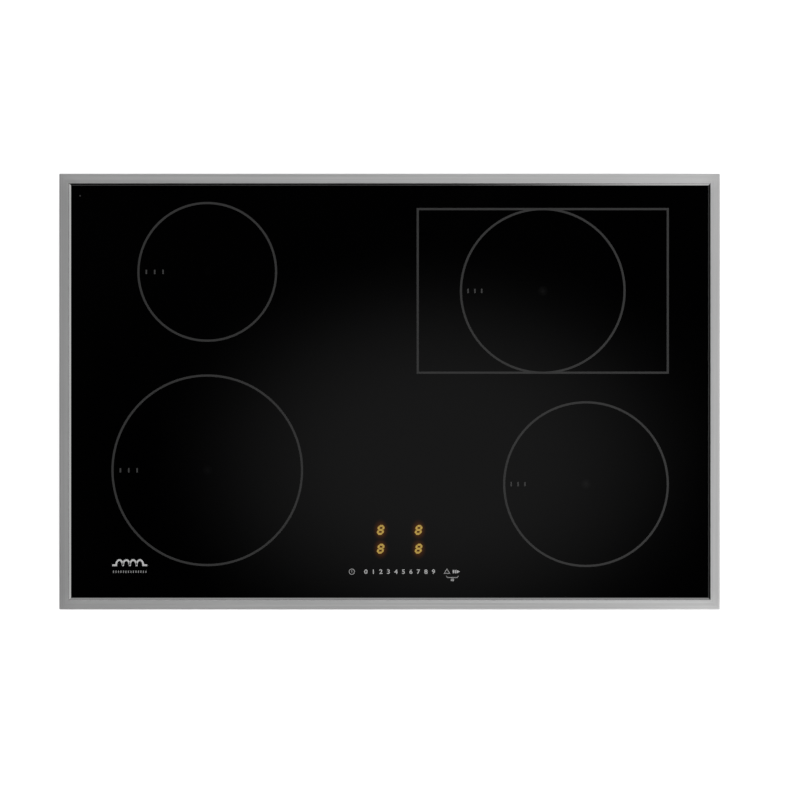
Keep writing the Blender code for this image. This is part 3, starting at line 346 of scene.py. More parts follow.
SENSOR_SPOT = 0.0065  # radius of the faint spot over a sensor
SENSOR_TONES = dict(zip(ZONE_NAMES, (0.0030, 0.0008, 0.0080, 0.0070)))
HALO_REACH = (0.0030, 0.0100)
HALO_SQUASH = (1, 0.72)  # the halo is taller than wide, as the figures are
HALO_LEVEL = 0.060


def black_glass():
    """Polished black glass-ceramic. Sensors show as faint spots, and the lit figures glow in it."""
    made = Shade("black_glass_ceramic", (0.001, 0.001, 0.001), 0.035, IOR=1.5)
    where = made.place()
    spots = 0.0
    for name, tone in SENSOR_TONES.items():
        spot = falling(made, where, middle_of("winding_" + name), (1, 1), 0.0, SENSOR_SPOT)
        spots = made.maths("ADD", spots, made.maths("MULTIPLY", spot, tone))
    smear = made.ramp(made.noise(5.0, detail=2.0), 0, 1, 0.35, 0.65)
    tint = made.mix(smear, (0.0004, 0.0004, 0.0005), (0.0009, 0.0009, 0.001))
    made.link(made.mix(spots, tint, (1.0, 1.0, 1.0)), "Base Color")
    made.gloss(made.noise(60.0, detail=4.0), 0.028, 0.046)
    made.bump(made.noise(3.0, detail=1.0), 0.00001, 0.25)
    glow = 0.0
    for side_x in (-1, 1):
        for side_y in (-1, 1):
            halo = falling(made, where, figure_centre(side_x, side_y), HALO_SQUASH, *HALO_REACH)
            glow = made.maths("MAXIMUM", glow, halo)
    made.shader.inputs["Emission Color"].default_value = (1.0, 0.27, 0.01, 1)
    made.link(made.maths("MULTIPLY", made.maths("MULTIPLY", glow, glow), HALO_LEVEL), "Emission Strength")
    return made.material


def ink(name, tone, roughness=0.5):
    """Ceramic ink fired on the glass, very slightly grainy."""
    colour = (tone, tone, tone)
    made = Shade(name, colour, roughness)
    made.tint(made.noise(900.0), colour, 0.06)
    made.gloss(made.noise(1500.0), roughness * 0.9, roughness * 1.1)
    return made.material


def lit(name, colour, strength):
    """A lit display segment, a little uneven along its length."""
    made = Shade(name, tuple(c * 0.15 for c in colour), 0.4)
    uneven = made.ramp(made.noise(420.0, detail=2.0), strength * 0.85, strength * 1.12, 0.3, 0.7)
    made.shader.inputs["Emission Color"].default_value = (*colour, 1)
    made.link(uneven, "Emission Strength")
    return made.material


# --- Mesh building ---
def new_object(name, data):
    """A new object in the scene, around this data."""
    made = bpy.data.objects.new(name, data)
    bpy.context.scene.collection.objects.link(made)
    return made


def to_mesh(form, name="shape"):
    """Turns a bmesh into a mesh and frees it."""
    mesh = bpy.data.meshes.new(name)
    form.to_mesh(mesh)
    form.free()
    return mesh


def final_mesh(obj):
    """The object's mesh with its modifiers applied."""
    bpy.context.view_layer.update()
    return bpy.data.meshes.new_from_object(obj.evaluated_get(bpy.context.evaluated_depsgraph_get()))


def shade_smooth(obj, angle=35.0):
    """Smooth shading, apart from edges sharper than the angle in degrees."""
    obj.data.shade_smooth()
    obj.data.set_sharp_from_angle(angle=math.radians(angle))


def enter(obj, body, replaced):
    """Makes an object a piece of the model: its body, and the CAD nodes it stands for."""
    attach(obj, body)
    if replaced:
        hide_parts(*replaced)
    return obj


def round_edges(shape, edges, width, segments=2):
    bmesh.ops.bevel(shape, geom=edges, offset=width, segments=segments, profile=0.5, affect="EDGES")


def thicken(shape, faces, height):
    """Extrudes flat faces upwards into a plate."""
    raised = bmesh.ops.extrude_face_region(shape, geom=faces)["geom"]
    verts = [v for v in raised if isinstance(v, bmesh.types.BMVert)]
    bmesh.ops.translate(shape, verts=verts, vec=(0, 0, height))


def skin(shape, rows, closed=False, capped=False):
    """Faces between rows of vertices. Each row runs round; closed joins the last row to the first."""
    for here, after in zip(rows, rows[1:] + rows[:1] if closed else rows[1:]):
        for i in range(len(here)):
            j = (i + 1) % len(here)
            corners = list(dict.fromkeys((here[i], here[j], after[j], after[i])))
            if len(corners) > 2:
                shape.faces.new(corners)
    if capped:
        shape.faces.new(rows[0][::-1])
        shape.faces.new(rows[-1])


class Build:
    """A piece under construction. Each shape takes the material of the latest use(), or the slot's."""

    def __init__(self, name, body="casing", slot=None):
        self.name, self.body, self.slot = name, body, slot
        self.form = bmesh.new()
        self.materials = []
        self.finish = MATERIALS.get(slot)

    def use(self, material):
        self.finish = MATERIALS[material]
        return self

    def add(self, shape, matrix=None):
        """Takes in a shape, a bmesh, turns its faces outwards and frees it."""
        if self.finish not in self.materials:
            self.materials.append(self.finish)
        if matrix is not None:
            shape.transform(matrix)
        bmesh.ops.remove_doubles(shape, verts=shape.verts, dist=1e-7)
        bmesh.ops.recalc_face_normals(shape, faces=shape.faces)
        if shape.calc_volume(signed=True) < 0:
            bmesh.ops.reverse_faces(shape, faces=shape.faces)
        for face in shape.faces:
            face.material_index = self.materials.index(self.finish)
        holder = to_mesh(shape)
        self.form.from_mesh(holder)
        bpy.data.meshes.remove(holder)
        return self

    def box(self, low, high, rounding=0.0004, segments=2):
        low, high = Vector(low), Vector(high)
        size = high - low
        shape = bmesh.new()
        bmesh.ops.create_cube(shape, size=1)
        shape.transform(Matrix.Translation((low + high) / 2) @ Matrix.Diagonal((*size, 1)))
        round_edges(shape, shape.edges[:], min(rounding, min(size) * 0.45), segments)
        return self.add(shape)

    def turned(self, profile, matrix=None, steps=24):
        """A profile of (radius, z) points turned about Z, then moved. It closes on the axis or itself."""
        shape = bmesh.new()
        rows = []
        for radius, z in profile:
            if radius < 1e-7:
                rows.append([shape.verts.new((0, 0, z))] * steps)
            else:
                rows.append([shape.verts.new((x, y, z)) for x, y in arc((0, 0), radius, 0, 360, steps)[:-1]])
        on_axis = profile[0][0] < 1e-7 and profile[-1][0] < 1e-7
        skin(shape, rows, closed=not on_axis)
        return self.add(shape, matrix)

    def tube(self, points, radius, sides=8):
        """A round bar along a line."""
        shape = bmesh.new()
        points = [Vector(p) for p in points]
        across = (points[1] - points[0]).orthogonal()
        rows = []
        for i, point in enumerate(points):
            along = (points[min(i + 1, len(points) - 1)] - points[max(i - 1, 0)]).normalized()
            across = (across - along * across.dot(along)).normalized()
            other = along.cross(across)
            ring = arc((0, 0), radius, 0, 360, sides)[:-1]
            rows.append([shape.verts.new(point + p * across + q * other) for p, q in ring])
        skin(shape, rows, capped=True)
        return self.add(shape)

    def slab(self, outline, low_z, high_z, rounding=0.0, matrix=None):
        """A plate from a simple closed outline, with its top and bottom edges rounded."""
        shape = bmesh.new()
        face = shape.faces.new([shape.verts.new((x, y, low_z)) for x, y in outline])
        thicken(shape, [face], high_z - low_z)
        if rounding:
            rims = [e for e in shape.edges if abs(e.verts[0].co.z - e.verts[1].co.z) < 1e-9]
            round_edges(shape, rims, rounding)
        return self.add(shape, matrix)

    def swept(self, profile, half_x, half_y, corner, **ends):
        """A profile of (inset, z) points swept round a rectangle with round corners."""
        shape = bmesh.new()
        rows = []
        for inset, z in profile:
            outline = round_rectangle(half_x - inset, half_y - inset, max(corner - inset, 0.00005))
            rows.append([shape.verts.new((x, y, z)) for x, y in outline])
        skin(shape, rows, **ends)
        return self.add(shape)

    def line(self, points, width, closed=False, lift=0.0):
        """A printed line of constant width, mitred at its bends. Lift keeps it off a line it crosses."""
        shape = bmesh.new()
        count = len(points)
        high = INK_HIGH + lift
        rows = []
        for i, point in enumerate(points):
            here = Vector(point)
            before = Vector(points[i - 1]) if closed or i else None
            after = Vector(points[(i + 1) % count]) if closed or i < count - 1 else None
            a = (here - before).normalized() if before is not None else (after - here).normalized()
            b = (after - here).normalized() if after is not None else a
            middle = (a + b).normalized()
            normal = Vector((-middle.y, middle.x))
            reach = normal * (width / 2 / max(0.35, normal.dot(Vector((-a.y, a.x)))))
            left, right = here + reach, here - reach
            section = ((*left, high), (*right, high), (*right, INK_LOW), (*left, INK_LOW))
            rows.append([shape.verts.new(corner) for corner in section])
        skin(shape, rows, closed, capped=not closed)
        return self.add(shape)

    def printed(self, outline):
        return self.slab(outline, INK_LOW, INK_HIGH)

    def printed_box(self, x, y, width, height):
        return self.printed(rectangle(width / 2, height / 2, x, y))

    def done(self, *replaced, smooth=35.0):
        """Makes the object, which rides on its body and stands for any CAD nodes named."""
        mesh = to_mesh(self.form, self.name)
        for finish in self.materials:
            mesh.materials.append(finish)
        obj = new_object(self.name, mesh)
        shade_smooth(obj, smooth)
        return enter(obj, self.body, replaced)


def arc(centre, radius, start, end, steps):
    """Points on an arc. Angles in degrees."""
    turn = [math.radians(start + (end - start) * i / steps) for i in range(steps + 1)]
    return [(centre[0] + radius * math.cos(a), centre[1] + radius * math.sin(a)) for a in turn]


def rectangle(half_x, half_y, x=0.0, y=0.0):
    return [(x + sx * half_x, y + sy * half_y) for sx, sy in ((-1, -1), (1, -1), (1, 1), (-1, 1))]


def obround(x, y, width, length, upright=True):
    """A slot's outline: two half circles joined by straight sides."""
    radius, straight = width / 2, (length - width) / 2
    points = arc((0, straight), radius, 0, 180, 6) + arc((0, -straight), radius, 180, 360, 6)
    return [(x + p, y + q) if upright else (x + q, y + p) for p, q in points]


def round_rectangle(half_x, half_y, radius, x=0.0, y=0.0):
    points = []
    for quarter, (sx, sy) in enumerate(((1, 1), (-1, 1), (-1, -1), (1, -1))):
        centre = (x + sx * (half_x - radius), y + sy * (half_y - radius))
        points += arc(centre, radius, quarter * 90, quarter * 90 + 90, 6)
    return points


def middle_of(node):
    """The middle of a CAD node's box."""
    low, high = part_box(node)
    return (low + high) / 2


def at(x, y, z=0.0):
    """The matrix that moves a shape from the origin to there."""
    return Matrix.Translation((x, y, z))


def cut_away(obj, cutters):
    """Cuts a build's shapes out of an object."""
    other = new_object("cutters", to_mesh(cutters.form))
    step = obj.modifiers.new("Cut", "BOOLEAN")
    step.operation = "DIFFERENCE"
    step.solver = "EXACT"
    step.object = other
    apply_modifiers(obj)
    bpy.data.objects.remove(other, do_unlink=True)


def apply_modifiers(obj, angle=35.0):
    mesh = final_mesh(obj)
    obj.modifiers.clear()
    obj.data = mesh
    shade_smooth(obj, angle)


def softened(node, width):
    """A copy of a CAD node with its sharp edges rounded, which stands for it."""
    form = bmesh.new()
    form.from_mesh(frame["nodes"][node].data)
    bmesh.ops.remove_doubles(form, verts=form.verts, dist=1e-6)
    bmesh.ops.dissolve_limit(form, angle_limit=math.radians(1), verts=form.verts, edges=form.edges)
    mesh = to_mesh(form, node + "_soft")
    mesh.materials.clear()
    mesh.materials.append(MATERIALS[SLOT_OF[node]])
    obj = new_object(node + "_soft", mesh)
    step = obj.modifiers.new("Round", "BEVEL")
    step.width = width
    step.segments = 2
    step.limit_method = "ANGLE"
    step.angle_limit = math.radians(SHARP_ANGLE)
    apply_modifiers(obj, SHARP_ANGLE)
    enter(obj, BODY_OF[node], [node])


# --- Steel trim and seal ---
def make_trim():
    """Folded steel band with a rolled outer edge, and a finer-ground slope down to the glass. The slope's
    steel is a darker copy of the band's, painted shade.
    """
    top, under = FRAME_HIGH.z, FRAME_LOW.z
    lip_z = GLASS_TOP + LIP_NOSE
    break_in = BAND - LIP_SLOPE
    outer = arc((EDGE_ROUND, top - EDGE_ROUND), EDGE_ROUND, 180, 90, 6)
    flat = [(0, under), *outer, (0.003, top), (break_in - 0.0005, top), (break_in, top)]
    nose = arc((BAND - LIP_NOSE, top - LIP_DROP - LIP_NOSE), LIP_NOSE, 90, 0, 6)
    slope = [(break_in, top), (break_in + 0.0004, top - 0.00008), *nose, (BAND, lip_z)]
    inner, lower = BAND - BAND_SHEET, top - BAND_SHEET
    back = [(BAND, lip_z), (inner, lip_z), (inner, lower), (BAND_SHEET, lower), (BAND_SHEET, under)]
    back.append((0, under))
    trim = Build("steel_trim", slot="steel_frame")
    for material, profile in (("steel_frame", flat), ("trim_slope", slope), ("steel_frame", back)):
        trim.use(material).swept(profile, FRAME_HIGH.x, FRAME_HIGH.y, CORNER_ROUND)
    bmesh.ops.remove_doubles(trim.form, verts=trim.form.verts, dist=1e-6)
    bmesh.ops.recalc_face_normals(trim.form, faces=trim.form.faces)
    trim.done("steel_frame", smooth=24)


def make_seal():
    """Foam strip with rounded shoulders under the band."""
    start = FRAME_HIGH.x - SEAL_HIGH.x
    end = start + SEAL_WIDTH
    soft = (SEAL_HIGH.z - SEAL_LOW.z) * 0.45
    outer = arc((start + soft, SEAL_LOW.z + soft), soft, 180, 270, 5)
    inner = arc((end - soft, SEAL_LOW.z + soft), soft, 270, 360, 5)
    profile = [(start, SEAL_HIGH.z), *outer, *inner, (end, SEAL_HIGH.z)]
    seal = Build("foam_seal", slot="seal_foam")
    seal.swept(profile, FRAME_HIGH.x, FRAME_HIGH.y, CORNER_ROUND, closed=True).done("worktop_seal")


# --- Print on the glass ---
def make_zones():
    for name in ZONE_NAMES:
        middle = middle_of("winding_" + name)
        radius = ZONE_DIAMETERS[name] / 2 - ZONE_LINE_INSET
        circle = arc(middle, radius, 0, 360, 180)[:-1]
        Build("zone_line_" + name).use("ink_zone").line(circle, ZONE_LINE, closed=True).done()
        first, pitch = ZONE_BARS[name.split("_")[1]]
        bars = Build("zone_bars_" + name).use("ink_bars")
        for i in range(3):
            bars.printed_box(middle.x - radius + first + i * pitch, middle.y, *BAR_SIZE)
        bars.done()
    middle = middle_of("winding_" + ROASTER_NAME)
    corners = rectangle(*(size / 2 - ZONE_LINE_INSET for size in ROASTER_SIZE), middle.x, middle.y)
    Build("zone_line_roaster").use("ink_zone").line(corners, ZONE_LINE, True, PRINT_THICKNESS).done()
    Build("corner_dot").use("ink_zone").printed(arc(CORNER_DOT, 0.0009, 0, 360, 16)[:-1]).done()


def character(word, height, x, y):
    """A character as a thin plate of that height about (x, y)."""
    curve = bpy.data.curves.new("character", "FONT")
    curve.body = word
    curve.offset = DIGIT_WEIGHT
    curve.fill_mode = "FRONT"
    text = new_object("character", curve)
    shape = bmesh.new()
    shape.from_mesh(final_mesh(text))
    bpy.data.objects.remove(text, do_unlink=True)
    bmesh.ops.remove_doubles(shape, verts=shape.verts, dist=1e-5)
    low = Vector([min(v.co[k] for v in shape.verts) for k in range(3)])
    high = Vector([max(v.co[k] for v in shape.verts) for k in range(3)])
    scale = height / (high.y - low.y)
    move = at(x, y, INK_LOW) @ Matrix.Diagonal((scale * DIGIT_STRETCH, scale, 1, 1))
    shape.transform(move @ Matrix.Translation(-(low + high) / 2))
    thicken(shape, shape.faces[:], PRINT_THICKNESS)
    return shape


def make_touch_row():
    digits = Build("touch_digits").use("ink_light")
    for i in range(10):
        digits.add(character(str(i), DIGIT_HEIGHT, TOUCH_FIRST + i * TOUCH_PITCH, TOUCH_Y))
    digits.done()

    x = ON_OFF_X
    on_off = Build("touch_on_off").use("ink_symbol")
    on_off.line(arc((x, TOUCH_Y), 0.0031, 0, 360, 48)[:-1], SYMBOL_LINE, closed=True)
    on_off.printed_box(x, TOUCH_Y + 0.0004, SYMBOL_LINE, 0.0026).done()

    x, low = TIMER_X, TOUCH_Y - 0.0020
    bell = [(x - 0.0031, low), *arc((x, TOUCH_Y + 0.0006), 0.0015, 165, 15, 10), (x + 0.0031, low)]
    timer = Build("touch_timer").use("ink_symbol").line(bell, SYMBOL_LINE, closed=True)
    timer.printed_box(x, TOUCH_Y + 0.0029, 0.0012, 0.0009).done()

    x = STOP_X
    stop = Build("touch_stop_start").use("ink_light")
    for bar_x in (x - 0.0016, x + 0.0006):
        stop.printed_box(bar_x, TOUCH_Y, 0.0015, 0.0038)
    arrow = [(x + 0.0021, TOUCH_Y - 0.0021), (x + 0.0061, TOUCH_Y), (x + 0.0021, TOUCH_Y + 0.0021)]
    stop.printed(arrow).done()

    x, y = LOCK_X, TOUCH_Y - 0.0050
    under = [(x - 0.0070, y), (x - 0.0056, y - 0.0018), (x + 0.0056, y - 0.0018), (x + 0.0070, y)]
    lock = Build("lock_symbol").use("ink_symbol").line(under, SYMBOL_LINE)
    lock.printed_box(x, y - 0.0048, 0.0038, 0.0024)
    lock.line(arc((x, y - 0.0036), 0.0012, 0, 180, 10), SYMBOL_LINE * 0.7).done()


def figure_centre(side_x, side_y):
    return [DISPLAY_MIDDLE[k] + side * DISPLAY_PITCH[k] / 2 for k, side in enumerate((side_x, side_y))]


def add_segment(form, centre, start, end):
    """One slanted six-sided segment of a figure, from start to end about its centre."""
    half = FIGURE_STROKE / 2
    start, end = Vector(start), Vector(end)
    along = (end - start).normalized()
    across = Vector((-along.y, along.x)) * half
    start, end, tip = start + along * FIGURE_GAP, end - along * FIGURE_GAP, along * half
    near, far = start + tip, end - tip
    shape = [start, near - across, far - across, end, far + across, near + across]
    form.printed([(centre[0] + p.x + p.y * FIGURE_SLANT, centre[1] + p.y) for p in shape])


def make_display():
    """Four lit figures of seven segments."""
    w, h = ((size - FIGURE_STROKE) / 2 for size in FIGURE_SIZE)
    for row, side_y in (("rear", 1), ("front", -1)):
        for column, side_x in (("left", -1), ("right", 1)):
            figure = Build(f"lit_figure_{row}_{column}").use("amber")
            centre = figure_centre(side_x, side_y)
            for level in (-1, 0, 1):
                add_segment(figure, centre, (-w, level * h), (w, level * h))
            for side in (-w, w):
                for low in (-1, 0):
                    add_segment(figure, centre, (side, low * h), (side, (low + 1) * h))
            figure.done()


def make_mark():
    """A coil sign over a row of ticks, where such cooktops carry their name."""
    x, low_y = MARK_LOW
    width, height = MARK_SIZE
    lead = width * 0.11
    span = (width - 2 * lead) / MARK_HUMPS
    base = low_y + height * 0.60
    points = [(x, base)]
    for i in range(MARK_HUMPS):
        middle = x + lead + span * (i + 0.5)
        points += [(middle + p * 0.96, base + q * 1.5) for p, q in arc((0, 0), span * 0.5, 180, 0, 12)]
    points.append((x + width, base))
    Build("mark_coil").use("ink_white").line(points, 0.0021).done()
    ticks = Build("mark_ticks").use("ink_symbol")
    for i in range(MARK_TICKS):
        ticks.printed_box(x + width * (i + 0.5) / MARK_TICKS, low_y + 0.0018, 0.0010, 0.0026)
    ticks.done()


# --- Casing ---
def outward(side_x, side_y, position):
    """Turns +Z to point out of a wall: one of side_x and side_y is 0."""
    turn, axis = (side_x, "Y") if side_x else (-side_y, "X")
    return at(*position) @ Matrix.Rotation(math.pi / 2 * turn, 4, axis)


def downward(x, y, z):
    """Turns +Z to point down."""
    return at(x, y, z) @ Matrix.Rotation(math.pi, 4, "X")


def add_screw(form, matrix, radius=0.0031, height=0.0017):
    """A pan-head screw with a cross recess drawn as two sunk bars, dark with painted shade."""
    dome = [(radius * math.cos(a), height * math.sin(a)) for a in (0, 0.3, 0.7, 1.05, 1.35)]
    shank = [(0, -0.0006), (radius * 0.6, -0.0006)]
    form.use("screw_steel").turned([*shank, *dome, (0, height)], matrix, 20)
    # Painted shade: the bars of the cross recess are near black.
    form.use("recess")
    long, short = radius * 0.42, radius * 0.126
    for cross in (rectangle(long, short), rectangle(short, long)):
        form.slab(cross, height * 0.9, height * 1.02, matrix=matrix)


def make_pan():
    """Folded sheet pan with rounded folds and punched vents."""
    low, top = PAN_UNDER, PAN_HIGH.z
    fold = (PAN_FOLD, low + PAN_FOLD)
    outer, inner = (arc(fold, radius, 270, 180, 5) for radius in (PAN_FOLD, PAN_FOLD - PAN_SHEET))
    rim = [(0, top - 0.0002), (0.0002, top), (PAN_SHEET - 0.0002, top), (PAN_SHEET, top - 0.0002)]
    pan = Build("folded_pan", slot="galvanised_steel")
    pan.swept([*outer, *rim, *inner[::-1]], WALL_X, WALL_Y, PAN_CORNER, capped=True)
    obj = pan.done("base_pan")

    cutters = Build("vents")
    deep = PAN_SHEET * 2
    for fan in ("left", "right"):
        fan_x = middle_of("fan_rotor_" + fan).x
        for i in range(-3, 4):
            length = 2 * math.sqrt(FAN_INLET**2 - (i * SLOT_PITCH) ** 2)
            cutters.slab(obround(fan_x + i * SLOT_PITCH, 0, SLOT_WIDTH, length), low - deep, low + deep)
    board_y = middle_of("power_board_left").y
    board_x = middle_of("power_board_right").x
    middle_z = BOARD_TOP + SIDE_SLOT_HEIGHT / 2
    upright = obround(0, 0, SLOT_WIDTH, SIDE_SLOT_HEIGHT)
    through_side = Matrix(((0, 0, 1), (1, 0, 0), (0, 1, 0))).to_4x4()
    for side in (-1, 1):
        for i in range(-4, 5):
            place = at(side * WALL_X, board_y + i * SLOT_PITCH, middle_z)
            cutters.slab(upright, -deep, deep, matrix=place @ through_side)
    for i in range(12):
        place = at(board_x + (i - 5.5) * SLOT_PITCH, WALL_Y, middle_z)
        cutters.slab(upright, -deep, deep, matrix=place @ Matrix.Rotation(math.pi / 2, 4, "X"))
    x, notch_top = middle_of("terminal_cover").x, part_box("terminal_cover")[1].z + 0.0006
    cutters.box((x - 0.025, WALL_Y - 0.046, 0), (x + 0.025, WALL_Y - 0.004, low + deep), 0.0001)
    cut_away(obj, cutters)
    notch_low, notch_high = (x - 0.013, WALL_Y - 0.008, -deep), (x + 0.013, WALL_Y + deep, notch_top)
    cut_away(obj, Build("cable_notch").box(notch_low, notch_high, 0.0001))


BEADS = (  # x, y, length, along Y
    (-0.215, -0.105, 0.200, False),
    (0.215, -0.105, 0.200, False),
    (0.215, 0.105, 0.200, False),
    (-0.150, 0.105, 0.110, False),
    (0, -0.150, 0.100, False),
    (0, 0.150, 0.100, False),
    (-0.335, 0, 0.240, True),
    (0.335, 0, 0.240, True),
)
FOOT_INSET = 0.045
EAR_SHEET = 0.002
EAR_GAP = 0.0003
BEAD_WIDTH = 0.008
BEAD_DEPTH = 0.0009
FLOOR_SCREWS = ((-0.104, 0.042), (-0.104, -0.042), (0.104, 0.042), (0.104, -0.042), (0, 0.060), (0, -0.060))


def make_casing_fittings():
    """What sits on the pan: feet, beads, screws, and the ears and pins of the clips."""
    fittings = Build("casing_fittings", slot="galvanised_steel")
    rim = [(0.0128, PAN_UNDER + 0.0004), (0.0124, 0.0017), (0.0112, 0.0006), (0.0102, 0.0001), (0.0090, 0)]
    foot = [(0, PAN_UNDER + 0.0004), *rim, (0.0034, 0), (0.0028, 0.0006), (0, 0.0006)]
    for x, y in rectangle(WALL_X - FOOT_INSET, WALL_Y - FOOT_INSET):
        fittings.turned(foot, at(x, y), 40)
    for x, y, length, upright in BEADS:
        outline = obround(x, y, BEAD_WIDTH, length, upright)
        fittings.slab(outline, PAN_UNDER - BEAD_DEPTH, PAN_UNDER + 0.0003, BEAD_DEPTH * 0.8)
    for x, y in FLOOR_SCREWS:
        add_screw(fittings, downward(x, y, PAN_UNDER), 0.0028, 0.0014)
    ear = [(-0.0006, -0.0026), (0.0024, -0.0026), *arc((0.0024, 0), 0.0026, -90, 90, 8), (-0.0006, 0.0026)]
    for name in ZONE_NAMES:
        low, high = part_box("clip_" + name)
        side = 1 if low.x > 0 else -1
        fittings.use("galvanised_steel")
        for y in (low.y - EAR_GAP - EAR_SHEET, high.y + EAR_GAP):
            place = at(side * WALL_X, y, CLIP_EYE_Z) @ Matrix(((side, 0, 0), (0, 0, 1), (0, 1, 0))).to_4x4()
            fittings.slab(ear, 0, EAR_SHEET, 0.0004, place)
        x = side * (WALL_X + CLIP_EYE_OUT)
        ends = [(x, y, CLIP_EYE_Z) for y in (low.y - 0.0030, high.y + 0.0030)]
        fittings.use("screw_steel").tube(ends, 0.00045, 10)
    screw_z = PAN_HIGH.z - 0.0065
    for side in (-1, 1):
        for y in (-0.205, -0.075, 0.075, 0.205):
            add_screw(fittings, outward(side, 0, (side * WALL_X, y, screw_z)))
        for x in (-0.320, -0.160, 0, 0.160, 0.320):
            add_screw(fittings, outward(0, side, (x, side * WALL_Y, screw_z)))
    fittings.done()


CLIP_SHEET = 0.0008
CLIP_WINDOW = (7, 15)  # rows of the leaf that the window takes
CLIP_ACROSS = (-1, -0.94, -0.3, 0, 0.3, 0.94, 1)  # the leaf's lines, as shares of its half width


def clip_line():
    """The leaf from the side: straight out from its eye, round the bulge, and in at the tail."""
    bulge, tail = Vector((0.0094, 0.030)), Vector((0.0072, 0.036))
    start = Vector((CLIP_EYE_OUT + 0.0004, CLIP_EYE_Z + 0.0011))
    before, after = bulge.lerp(start, 0.12), bulge.lerp(tail, 0.45)
    line = [start.lerp(before, i / 16) for i in range(16)]
    line += [before.lerp(bulge, t).lerp(bulge.lerp(after, t), t) for t in (i / 8 for i in range(9))]
    return line + [after.lerp(tail, 0.5), tail]


def make_clips():
    """Spring-steel leaf with a rolled eye, a smooth bulge, a turned-in tail and a punched window."""
    line = clip_line()
    last = len(line) - 1
    narrower = {last: 0.0022, last - 1: 0.0008}
    for name in ZONE_NAMES:
        low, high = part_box("clip_" + name)
        side = 1 if low.x > 0 else -1
        half, middle_y = (high.y - low.y) / 2, (low.y + high.y) / 2
        shape = bmesh.new()
        sheets = ([], [])
        for i, point in enumerate(line):
            along = (line[min(i + 1, last)] - line[max(i - 1, 0)]).normalized()
            reach = half - narrower.get(i, 0)
            for rows, out in zip(sheets, (-CLIP_SHEET / 2, CLIP_SHEET / 2)):
                x, z = side * (WALL_X + point.x - along.y * out), point.y + along.x * out
                rows.append([shape.verts.new((x, middle_y + u * reach, z)) for u in CLIP_ACROSS])
        for rows in sheets:
            for i in range(last):
                for j in range(len(CLIP_ACROSS) - 1):
                    if not (i in range(*CLIP_WINDOW) and j in (2, 3)):
                        shape.faces.new((rows[i][j], rows[i + 1][j], rows[i + 1][j + 1], rows[i][j + 1]))
        pairs = {a: b for ra, rb in zip(*sheets) for a, b in zip(ra, rb)}
        for edge in [e for e in shape.edges if e.is_boundary]:
            a, b = edge.verts
            if a in pairs and b in pairs:
                shape.faces.new((a, b, pairs[b], pairs[a]))
        clip = Build("leaf_clip_" + name, "fixing_clip_" + name, "clip_steel").add(shape)
        ring = [(0.0012, -half), (0.0012, half), (0.0006, half), (0.0006, -half)]
        centre = at(side * (WALL_X + CLIP_EYE_OUT), middle_y, CLIP_EYE_Z)
        clip.turned(ring, centre @ Matrix.Rotation(math.pi / 2, 4, "X"), 20)
        clip.done("clip_" + name)


def make_terminal_cover():
    """The cover's screws, ribs and rubber grommet. No cable is fitted, so the grommet is closed."""
    softened("terminal_cover", 0.0003)
    low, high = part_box("terminal_cover")
    x = (low.x + high.x) / 2
    extra = Build("cover_fittings", slot="black_plastic")
    for i in range(5):
        y = low.y + 0.014 + i * 0.005
        extra.box((x - 0.016, y, low.z - 0.0003), (x + 0.016, y + 0.0016, low.z + 0.0004), 0.0002)
    for side in (-1, 1):
        add_screw(extra, downward(x + side * 0.026, low.y + 0.003, low.z), 0.0024, 0.0005)
    inside = [(0, 0.0004), (0.0036, 0.0002), (0.0052, 0.0004), (0.0054, -0.0030), (0.0062, -0.0030)]
    flange = [(0.0062, 0.0002), (0.0084, 0.0002), (0.0086, 0.0010), (0.0078, 0.0019), (0.0060, 0.0022)]
    middle = [(0.0034, 0.0010), (0.0016, 0.0011), (0, 0.0013)]
    place = outward(0, 1, (x, high.y, PAN_UNDER + 0.009))
    extra.use("rubber").turned([*inside, *flange, *middle], place, 32).done()


# --- Coils ---
def make_windings():
    for name in ZONE_NAMES:
        low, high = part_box("winding_" + name)
        centre, radius = (low + high) / 2, (high.z - low.z) / 2
        pitch = 2 * radius + WIRE_GAP
        start = COIL_BORE + radius
        turns = int(((high.x - low.x) / 2 - radius - start) / pitch)
        points = []
        for i in range(turns * COIL_STEPS + 1):
            r, a = start + pitch * i / COIL_STEPS, 2 * math.pi * i / COIL_STEPS
            points.append((centre.x + r * math.cos(a), centre.y + r * math.sin(a), centre.z))
        coil = Build("litz_coil_" + name, "coil_" + name, "copper_litz")
        coil.tube(points, radius * 0.98).done("winding_" + name, smooth=60)
    for word in ("left", "right"):
        low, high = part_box("side_winding_" + word)
        centre, half = (low + high) / 2, (high - low) / 2
        pitch = 2 * half.z + WIRE_GAP
        steps = len(round_rectangle(1, 1, 0.5))
        points = []
        for i in range(int(SIDE_COIL_WIDTH / pitch) * steps):
            inset = half.z + pitch * i / steps
            corner = max(half.x * 0.9 - inset, 0.002)
            outline = round_rectangle(half.x - inset, half.y - inset, corner, centre.x, centre.y)
            points.append((*outline[i % steps], centre.z))
        coil = Build("litz_side_coil_" + word, "coil_" + ROASTER_NAME, "copper_litz")
        coil.tube(points, half.z * 0.98).done("side_winding_" + word, smooth=60)


def spring_points(low, high):
    """A compression spring's wire: a closed turn at each end and open turns between."""
    centre = (low + high) / 2
    count = int((SPRING_TURNS + 1.5) * SPRING_STEPS)
    points = []
    for i in range(count + 1):
        t = i / count
        ends = min(t / 0.14, 1) + max((t - 0.86) / 0.14, 0)
        rise = min(max((t - 0.14) / 0.72, 0), 1) * 0.82 + 0.09 * ends
        a = 2 * math.pi * i / SPRING_STEPS
        z = low.z + SPRING_WIRE + (high.z - low.z - 2 * SPRING_WIRE) * rise
        points.append((centre.x + SPRING_RADIUS * math.cos(a), centre.y + SPRING_RADIUS * math.sin(a), z))
    return points


